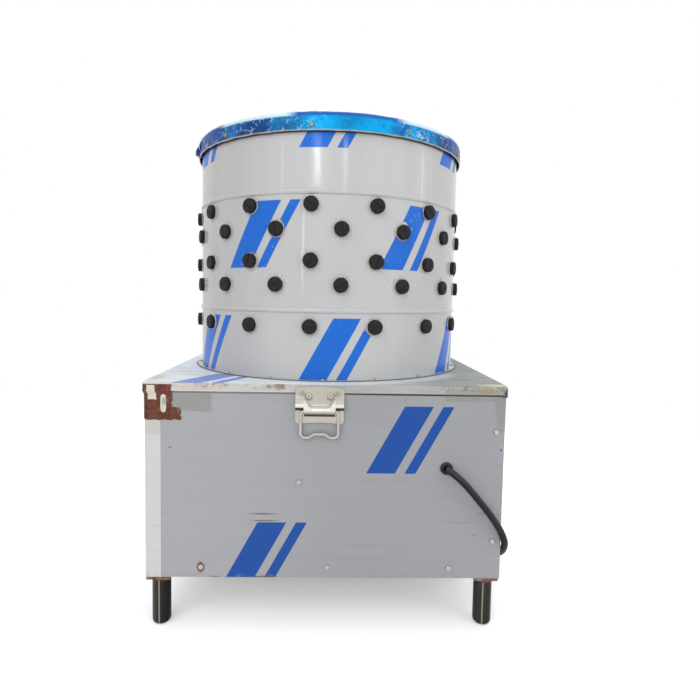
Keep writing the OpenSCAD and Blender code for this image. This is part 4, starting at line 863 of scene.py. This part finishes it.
# Marks: centre, stretch, inner and outer limit, tint and weight
# Painted shade round the handle's rivets, and a painted reflection beside them
RIVET_SHADE_SPOTS = (
    ((0.0192, 0.0, 0.4104), ROUND, 0.0048, 0.0085, NICKEL_SHADE, 0.75),
    ((0.0290, 0.0, 0.4150), ROUND, 0.001, 0.009, NICKEL_SHADE, 0.5),
)
FRONT_SPOTS = (
    ((-0.2125, -SKIN, 0.110), (1.3, 0.0, 0.9), 0.006, 0.011, RUST, 0.95),
    ((-0.107, -SKIN, 0.205), LEVEL, 0.002, 0.008, SOOT_AND_SHADE, 0.85),
    ((-0.103, -SKIN, 0.193), LEVEL, 0.002, 0.008, SOOT_AND_SHADE, 0.8),
    ((-0.264, -SKIN, 0.320), ROUND, 0.0005, 0.003, PANEL_INK, 0.9),
    ((0.3027, -SKIN, 0.321), ROUND, 0.0005, 0.003, PANEL_INK, 0.9),
    ((-0.106, -SKIN, 0.0925), (0.2, 0.0, 2.0), 0.003, 0.006, SOOT_AND_SHADE, 0.85),
    ((-0.188, -SKIN, 0.0925), (0.4, 0.0, 2.0), 0.002, 0.005, SOOT_AND_SHADE, 0.7),
    ((0.2738, -SKIN, 0.2085), LEVEL, 0.001, 0.005, SOOT_AND_SHADE, 0.6),
    ((0.2323, -SKIN, 0.1918), (0.15, 0.0, 4.0), 0.001, 0.005, SOOT_AND_SHADE, 0.35),
    ((0.2611, -SKIN, 0.1691), (1.6, 0.0, 0.8), 0.0005, 0.003, SOOT_AND_SHADE, 0.7),
    ((0.2050, -SKIN, 0.3673), ROUND, 0.0004, 0.0026, SOOT_AND_SHADE, 0.5),
    ((0.2395, -SKIN, 0.3438), ROUND, 0.0004, 0.0026, SOOT_AND_SHADE, 0.4),
    ((0.1343, -SKIN, 0.4062), ROUND, 0.0004, 0.0026, SOOT_AND_SHADE, 0.5),
)
PAPER_SPOTS = (((-0.2735, -SKIN, 0.3985), (1.0, 0.0, 0.6), 0.003, 0.0045, (0.33, 0.34, 0.33), 0.9),)
FOLD_SPOTS = (((-0.3, -SKIN, 0.357), (0.0, 0.6, 1.0), 0.012, 0.019, (0.50, 0.52, 0.44), 0.6),)
PLATE_SPOTS = (
    ((0.246, -0.246, STAND_TOP), (0.5, 1.0, 0.0), 0.005, 0.016, (0.17, 0.18, 0.14), 0.55),
    ((0.285, -0.215, STAND_TOP), (0.4, 1.0, 0.0), 0.003, 0.012, (0.19, 0.20, 0.17), 0.45),
    ((0.300, -0.302, STAND_TOP), (0.25, 0.8, 0.0), 0.004, 0.014, (0.64, 0.63, 0.43), 0.7),
    ((-0.305, -0.262, STAND_TOP), (0.7, 0.4, 0.0), 0.006, 0.020, (0.42, 0.47, 0.31), 0.55),
)
LIP_SPOTS = (
    ((0.274, -LIP_FACE, 0.4255), WIDE, 0.004, 0.010, (0.42, 0.31, 0.14), 0.7),
    ((-0.245, -LIP_FACE, 0.431), WIDE, 0.003, 0.012, (0.62, 0.59, 0.50), 0.7),
    ((-0.080, -LIP_FACE, 0.4275), WIDE, 0.003, 0.009, (0.17, 0.13, 0.08), 0.6),
)

RUBBER = {"patch": 45.0, "depth": 0.7, "grain": 0.12, "metallic": 0.0, "gloss": 0.25, "fine": 0.0006}
PLASTIC = {"patch": 60.0, "depth": 0.2, "grain": 0.06, "metallic": 0.0}
FINISHES = {
    "frame_paint": frame_paint(),
    "weld_steel": mottled("weld_plate", 0.4, 130.0, 5.0, 0.4, RAW_PLATE, RUST, (0.45, 0.8), 0.5, 0.0015),
    "leg_steel": leg_steel(),
    "plate_steel": plate_film(),
    "panel_steel": panel_film("front_film", (0.375, 0.38, 0.40), "X", 0.18, FRONT_SPOTS, 0.12, 0.50, 0.035),
    # Left panel's film: a paler tone, partly its own whitish film and partly painted light on the side the
    # light falls on.
    "fold_steel": panel_film("fold_film", (0.595, 0.595, 0.60), "Y", 0.10, FOLD_SPOTS),
    "drum_steel": drum_film(),
    "rim_film": rim_film(),
    "bright_steel": plain("zinc_fasteners", ZINC, (0.256, 0.4), 80.0, 0.3, 0.02, shade_reach=0.004),
    "finger_rubber": plain("finger_rubber", (0.014, 0.0135, 0.014), (0.48, 0.75), **RUBBER),
    "stainless": plain("brushed_stainless", (0.58, 0.59, 0.60), (0.24, 0.375), 8.0, 0.15, 0.06, streak=140.0),
    "machined_steel": plain("turned_steel", (0.50, 0.50, 0.51), (0.224, 0.35), 20.0, 0.2, 0.05, streak=200.0),
    "cast_iron": plain("cast_iron", (0.12, 0.12, 0.125), (0.48, 0.75), 60.0, 0.5, 0.3, 0.5),
    "motor_paint": plain("motor_paint", (0.05, 0.09, 0.13), (0.32, 0.5), 30.0, 0.3, 0.1, 0.1),
    "belt_rubber": plain("belt_rubber", (0.02, 0.02, 0.02), (0.63, 0.9), **RUBBER),
    "handle_nickel": pressed_nickel(),
    "switch_plastic": plain("switch_plastic", (0.05, 0.05, 0.052), (0.425, 0.6), **PLASTIC),
    "start_green": plain("start_green", (0.01, 0.22, 0.04), (0.255, 0.36), **PLASTIC),
    "stop_red": plain("stop_red", (0.42, 0.01, 0.008), (0.255, 0.36), **PLASTIC),
    "cord_rubber": cord_sheath(),
}
BAIL_WIRE = plain("bail_wire", (0.55, 0.53, 0.48), (0.16, 0.25), 60.0, 0.3, 0.03, shade_reach=0.006)
NODE_FINISHES = {
    "right_panel": panel_film("right_film", (0.44, 0.445, 0.46), "Y", 0.0),
    "rear_panel": panel_film("rear_film", (0.42, 0.425, 0.44), "X", -0.06),
    "front_bail": BAIL_WIRE,
    "rear_bail": BAIL_WIRE,
    "rim_screws": plain("rim_screw_zinc", OLD_ZINC, (0.28, 0.4375), 120.0, 0.4, 0.02, shade_reach=0.006),
}
TAPE = parcel_tape()
PAPER = scrap_paper()
LOOSE_FILM = clear_film("loose_film", (0.42, 0.435, 0.375), 0.22, over_gap=0.02)
TAB_FILM = clear_film("tab_film", (0.004, 0.20, 0.66), 1.0, 0.7)
TORN_FILM = mottled("torn_film", 0.0, 150.0, 4.0, 0.38, TORN_PALE, TORN_DIRTY, (0.3, 0.6), 0.3, 0.0008)
# Dark sheet for the lip's right end: painted shade, partly folded film.
LIP_END_SHADE_FILM = clear_film("lip_end_shade_film", (0.060, 0.042, 0.034), 1.0)


def dress_solids():
    for sub in frame["record"]["subparts"]:
        mesh = NODES[sub["node"]].data
        mesh.materials.clear()
        mesh.materials.append(NODE_FINISHES.get(sub["node"], FINISHES[sub["material_slot"]]))


dress_solids()


# Power cord: the route that the solids have, as one smooth curve

GROMMET = (0.209, 0.288)
COIL_AT = (0.205, 0.440)
COIL_OUT, COIL_IN = 0.078, 0.052
COIL_Z, COIL_LAYER = 0.0072, 0.0129
COIL_TURNS, COIL_START = 3.5, -20.0
TAIL = 0.058
CORD_D = 0.012


def cord_route():
    """Points from the grommet, round the corner, down the side, along the floor and round the coil."""
    gx, gz, s = GROMMET[0] / MM, GROMMET[1] / MM, SKIN / MM
    legs = (
        ((gx, -s, gz), ((0, -4, 0), (10.5, -13, -6.3), (22.5, -18.4, -15.7), (37, -20.4, -30.5),
                        (53, -19.8, -49.5), (70.5, -17.4, -70.5), (86, -13.8, -92), (97, -9.6, -110.5))),
        ((s, -s, gz), ((5, -4.9, -127), (8, 4.5, -141.5), (9.8, 17.5, -154), (11, 36, -167))),
        ((s, -s, 0), ((11.8, 62, 104), (12.6, 94, 84), (14, 130, 61), (16, 168, 38), (18.5, 206, 19))),
        ((s, 0, 0), ((21, -64, 8.8), (23, -22, 7.2), (25, 30, 7.2), (27, 90, 7.2), (28, 150, 7.2),
                     (28, 210, 7.2))),
        ((s, s, 0), ((25, -38, 7.2), (17, 17, 7.2))),
    )
    points = [Vector([a + b for a, b in zip(base, p)]) * MM for base, leg in legs for p in leg]
    steps = int(24 * COIL_TURNS)
    climb = 0.5 / COIL_TURNS
    for i in range(steps + 1):
        share = i / steps
        a = math.radians(COIL_START + 360 * COIL_TURNS * share)
        r = COIL_OUT - (COIL_OUT - COIL_IN) * (1 - abs(2 * share - 1))
        z = COIL_Z + COIL_LAYER * smooth_step(share, 0.5 - climb / 2, 0.5 + climb / 2)
        points.append(Vector((COIL_AT[0] + r * math.cos(a), COIL_AT[1] + r * math.sin(a), z)))
    last = points[-1] - points[-2]
    last.z = 0
    last.normalize()
    points += [points[-1] + last * TAIL / 2, points[-1] + last * TAIL]
    return points


def make_cord():
    points = cord_route()
    data = bpy.data.curves.new("power_lead", "CURVE")
    data.dimensions = "3D"
    data.bevel_depth = CORD_D / 2
    data.bevel_resolution = 5
    data.resolution_u = 6
    data.use_fill_caps = True
    spline = data.splines.new("BEZIER")
    spline.bezier_points.add(len(points) - 1)
    for knot, p in zip(spline.bezier_points, points):
        knot.co = p
        knot.handle_left_type = knot.handle_right_type = "AUTO"
    lead = add_object("power_lead", data)
    data.materials.append(FINISHES["cord_rubber"])
    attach(lead, "machine")
    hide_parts("power_cord", "cord_coil")
    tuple(points[0])


make_cord()


# Rim: blue film drawn over the rolled edge, with real creases


def crease(a, v, seed):
    """Sharp-edged folds of a drawn film, about -1 to 1."""
    p = Vector((math.sin(a) * 9 + seed, math.cos(a) * 9, v * 2.2))
    folds = 1 - 2 * abs(noise.noise(p * 1.7)) - 0.55
    return folds + 0.5 * noise.noise(p * 4.1)


RIM_AROUND, RIM_STEPS = 540, 34
FILM_LIFT, FILM_INSIDE = 0.0004, -0.0013
HEM, HEM_SAG = 0.004, 0.0009


def make_rim():
    """The film's outer face, over the crown and down inside, and back along the inner face."""
    foot = RIM_TOP - RIM_HEIGHT
    crown = RIM_TOP - RIM_HALF
    wall = crown - foot
    arc = math.pi * RIM_HALF
    total = 2 * wall + arc
    profile = []
    for side in (1, -1):
        for j in range(RIM_STEPS + 1):
            s = total * j / RIM_STEPS
            s = s if side > 0 else total - s
            if s < wall:
                nr, nz, z = 1.0, 0.0, foot + s
            elif s < wall + arc:
                b = (s - wall) / RIM_HALF
                nr, nz = math.cos(b), math.sin(b)
                z = crown + RIM_HALF * nz
            else:
                nr, nz, z = -1.0, 0.0, foot + total - s
            profile.append((RIM_MID_R + RIM_HALF * nr, z, nr, nz, s, side))
    verts = []
    for i in range(RIM_AROUND):
        a = 2 * math.pi * i / RIM_AROUND
        for r, z, nr, nz, s, side in profile:
            out = FILM_LIFT * (1 + crease(a, s * 40, 3.0)) if side > 0 else FILM_INSIDE
            hem = 0.0
            if s < HEM or s > total - HEM:
                hem = -HEM_SAG * (1 + noise.noise(Vector((math.sin(a) * 14, math.cos(a) * 14, 1.0))))
            rr = r + nr * out
            verts.append((rr * math.sin(a), -rr * math.cos(a), z + nz * out + hem))
    faces = grid_faces(RIM_AROUND, len(profile), True)
    rim = piece("film_rim", verts, faces, FINISHES["rim_film"])
    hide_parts("drum_rim")


TAB_FROM, TAB_TO = math.radians(-86), math.radians(-66)
TAB_TOP, TAB_DROP, TAB_OUT = 0.886, 0.014, 0.007


def make_rim_tab():
    """A loose end of the rim's film that stands off at the left."""

    def place(u, v, out):
        a = TAB_FROM + (TAB_TO - TAB_FROM) * u
        sag = math.sin(math.pi * u) ** 0.7
        r = RIM_MID_R + RIM_HALF + 0.0012 + TAB_OUT * v * v * sag + out + 0.0012 * wander(u, 5.0, 2.0) * v
        z = TAB_TOP - TAB_DROP * v * (0.35 + 0.65 * sag)
        return Vector((r * math.sin(a), -r * math.cos(a), z))

    thin_sheet("rim_film_tab", 9, 13, place, 0.0004, TAB_FILM)


make_rim()
make_rim_tab()


# Torn film round the fingers

TATTER_SIDES = 30
TATTER_LIFT, TATTER_THICK, TATTER_SUNK = 0.0014, 0.0003, 0.0002


def drum_point(across, height, radius, angle):
    """A point that lies along and up from a place on the drum's sheet."""
    a = angle + across / DRUM_R
    return Vector((radius * math.sin(a), -radius * math.cos(a), height))


def tatter_ring(angle, height, seed, verts, faces):
    """One ragged collar of film: an inner edge pushed up against the head, and a torn outer edge."""
    draw = random.Random(seed)
    flap_turn = draw.uniform(-0.9, 0.9)
    flap_size = draw.choice((0.0, 0.0, 0.003, 0.005))
    wide = draw.uniform(0.0004, 0.0022)
    start = len(verts)
    inner = HEAD_R + 0.0001
    for i in range(TATTER_SIDES):
        b = 2 * math.pi * i / TATTER_SIDES
        torn = noise.noise(Vector((math.cos(b) * 2.4 + seed * 3.1, math.sin(b) * 2.4, seed * 0.7)))
        flap = max(0.0, math.cos(b - math.pi / 2 - flap_turn)) ** 6 * flap_size
        reach = HEAD_R + 0.0006 + wide * (1.0 + 0.9 * torn) + flap
        middle = (HEAD_R + reach) / 2
        lift = TATTER_LIFT * (0.6 + 0.6 * torn) + 0.5 * flap
        for r, up in ((inner, lift), (middle, 0.45 * lift + TATTER_THICK), (reach, TATTER_THICK + 0.2 * flap),
                      (reach, -TATTER_SUNK), (inner, -TATTER_SUNK)):
            verts.append(drum_point(r * math.cos(b), height + r * math.sin(b), DRUM_R + up, angle))
    ring = grid_faces(TATTER_SIDES, 5, True)
    faces += [tuple(start + k for k in face) for face in ring]


def make_tatters():
    verts, faces = [], []
    for row, height in enumerate(ROW_HEIGHTS):
        for i in range(FINGERS):
            turn = ROW_TURN + (ROW_SHIFT if row % 2 else 0.0) + 360.0 / FINGERS * i
            tatter_ring(math.radians(turn), STAND_TOP + height, row * FINGERS + i, verts, faces)
    piece("film_collars", verts, faces, TORN_FILM)


make_tatters()


# Tape, paper and loose film on the stand's front

CORNER_RUN = CORNER_R * math.pi / 2


def skin_at(z):
    """How far out the panel or the lip stands at a height."""
    return SKIN + (LIP_FACE - SKIN) * smooth_step(z, PANEL_TOP - 0.004, LIP_FOOT - 0.0005)


def skin_point(s, z, out):
    """A point off the left front corner: s runs along the front, or where negative along the left side."""
    h = skin_at(z)
    turn = math.radians(90 * max(0.0, min(1.0, s / CORNER_RUN + 0.5)))
    away = Vector((-math.cos(turn), -math.sin(turn), 0.0))
    at = Vector((-h + CORNER_R, -h + CORNER_R, z)) + away * (CORNER_R + out)
    if s > CORNER_RUN / 2:
        at.x += s - CORNER_RUN / 2
    if s < -CORNER_RUN / 2:
        at.y += -s - CORNER_RUN / 2
    return at


TAPE_SIDE, TAPE_TOP, TAPE_FOOT = -0.024, 0.4282, 0.3675
TAPE_UPPER, TAPE_LOWER, TAPE_STEP = 0.0465, 0.0615, 0.3888


def make_tape():
    """A patch of tape over the corner with torn edges, longer at its lower end."""

    def place(u, v, out):
        z = TAPE_TOP + (TAPE_FOOT - TAPE_TOP) * v
        right = TAPE_UPPER + (TAPE_LOWER - TAPE_UPPER) * smooth_step(z, TAPE_STEP + 0.001, TAPE_STEP - 0.001)
        right += 0.0028 * wander(z, 260.0, 1.0) + 0.001 * wander(z, 900.0, 4.0)
        left = TAPE_SIDE + 0.003 * wander(z, 180.0, 2.0)
        s = left + (right - left) * u
        z += 0.0016 * wander(s, 170.0, 7.0) * smooth_step(v, 0.6, 1.0)
        crumple = 0.00035 * (1 + noise.noise(Vector((s * 120, z * 90, 3.0))))
        return skin_point(s, z, 0.0003 + crumple + out)

    thin_sheet("corner_tape", 64, 44, place, 0.00025, TAPE)


def make_scrap(name, left, right, top, foot, seed, rounded):
    """A plain scrap of paper stuck on the tape."""

    def place(u, v, out):
        z = top + (foot - top) * v
        pinch = rounded * (1 - math.sqrt(max(0.0, 1 - abs(2 * v - 1) ** 6)))
        a = left + pinch + 0.0006 * wander(z, 330.0, seed)
        b = right - pinch + 0.0009 * wander(z, 300.0, seed + 5)
        s = a + (b - a) * u
        return skin_point(s, z + 0.0005 * wander(s, 400.0, seed + 9) * v, 0.0012 + out)

    thin_sheet(name, 26, 10, place, 0.0002, PAPER)


LEFT_FROM, LEFT_TO, LEFT_DROP = 0.049, 0.112, 0.031


def make_left_flap():
    """Loose film below the lip, beside the tape."""

    def place(u, v, out):
        z = PANEL_TOP - 0.0005 - LEFT_DROP * v * (0.88 + 0.12 * u)
        right = LEFT_TO + 0.0015 * wander(z, 120.0, 12.0)
        s = LEFT_FROM + (right - LEFT_FROM) * u
        lift = 0.0006 + 0.0022 * v * v * u + 0.0004 * noise.noise(Vector((s * 70, z * 60, 8.0)))
        return skin_point(s, z, lift + out)

    thin_sheet("left_film_flap", 14, 18, place, 0.0002, LOOSE_FILM)


FLAP_FROM, FLAP_TO, FLAP_DROP = 0.2025, 0.3085, 0.020
TRAIL_FROM, TRAIL_TO, TRAIL_DROP = 0.288, 0.300, 0.052


def make_right_flap():
    """Film that hangs over the right end of the lip and trails down to the edge screw."""

    def place(u, v, out):
        x = FLAP_FROM + (FLAP_TO - FLAP_FROM) * u
        trail = TRAIL_DROP * smooth_step(x, TRAIL_FROM, TRAIL_TO)
        drop = FLAP_DROP + 0.0015 * wander(x, 140.0, 21.0) + trail
        z = STAND_TOP - 0.006 - drop * v
        lift = 0.0006 + 0.0012 * v + 0.0005 * noise.noise(Vector((x * 60, z * 80, 5.0)))
        return Vector((x, -skin_at(z) - lift - out, z))

    thin_sheet("right_film_flap", 22, 40, place, 0.0002, LOOSE_FILM)


FOLD_DROP, FOLD_SPREAD = 0.0175, 0.0072


def make_corner_fold():
    """Dark sheet on the right end of the lip, wider at its foot: painted shade of the lip's end, partly
    folded film.
    """

    def place(u, v, out):
        z = STAND_TOP - 0.0012 - FOLD_DROP * v
        left = LIP_FACE - 0.0008 - FOLD_SPREAD * v - 0.0006 * wander(z, 260.0, 51.0)
        x = left + (LIP_FACE - 0.0006 - left) * u
        return Vector((x, -LIP_FACE - 0.0020 - out, z))

    thin_sheet("lip_corner_fold", 12, 6, place, 0.0003, LIP_END_SHADE_FILM)


make_tape()
make_corner_fold()
make_scrap("upper_paper_scrap", 0.0065, 0.0205, 0.4268, 0.4020, 31.0, 0.0)
make_scrap("lower_paper_scrap", 0.0275, 0.0370, 0.4110, 0.3800, 41.0, 0.004)
make_left_flap()
make_right_flap()


# Studio: pale floor, plain soft light

FLOOR_FADE = (0.9, 2.1)
LAMPS = (
    ("key_light", (-2.0, -3.0, 3.0), (3.0, 3.0), 76.0, False),
    ("fill_light", (3.0, -2.4, 1.8), (2.6, 2.6), 43.0, False),
    ("top_light", (0.2, 0.3, 3.4), (3.0, 3.0), 43.0, False),
    ("back_light", (0.6, 3.2, 2.0), (2.6, 2.6), 46.0, False),
    ("left_strip", (-0.42, -2.4, 1.40), (0.20, 0.26), 3.6, True),
    ("middle_strip", (0.49, -2.4, 1.40), (0.16, 0.12), 0.35, True),
    ("right_strip", (2.6, -0.40, 1.35), (0.5, 0.8), 1.6, True),
)


def make_world():
    world = bpy.data.worlds.new("studio")
    scene.world = world
    world.use_nodes = True
    t = Tree(world.node_tree)
    back = world.node_tree.nodes["Background"]
    path = t.add("LightPath").outputs
    seen = t.math("MAXIMUM", path["Is Camera Ray"], path["Is Transmission Ray"])
    seen = t.math("MAXIMUM", seen, path["Is Glossy Ray"])
    t.feed(back.inputs["Color"], (1.0, 1.0, 1.0, 1.0))
    t.feed(back.inputs["Strength"], t.ramp(seen, 0.0, 1.0, 0.5, 1.0))


def make_floor():
    """A pale floor that takes the shadow and fades into the white beyond."""
    far = 6.0
    mesh = bpy.data.meshes.new("floor")
    mesh.from_pydata([(-far, -far, 0), (far, -far, 0), (far, far, 0), (-far, far, 0)], [], [(0, 1, 2, 3)])
    floor = add_object("floor", mesh)
    t = Surface("pale_floor", Base_Color=(0.85, 0.85, 0.85, 1.0), Roughness=0.9)
    path = t.add("LightPath").outputs
    t.put("Emission Color", (1.0, 1.0, 1.0, 1.0))
    t.put("Emission Strength", t.times(path["Is Camera Ray"], 0.35))
    away = t.vector("LENGTH", t.place())["Value"]
    t.put("Alpha", t.ramp(away, *FLOOR_FADE, 1.0, 0.0))
    mesh.materials.append(t.material)


def make_lamps():
    for name, place, size, power, mirrored in LAMPS:
        data = bpy.data.lights.new(name, "AREA")
        data.energy = power
        data.shape = "RECTANGLE"
        data.size, data.size_y = size
        lamp = add_object(name, data)
        lamp.visible_glossy = mirrored
        lamp.location = place
        aim = Vector((0, 0, 0.45)) - Vector(place)
        lamp.rotation_euler = aim.to_track_quat("-Z", "Y").to_euler()


make_world()
make_floor()
make_lamps()
scene.view_settings.view_transform = "Standard"
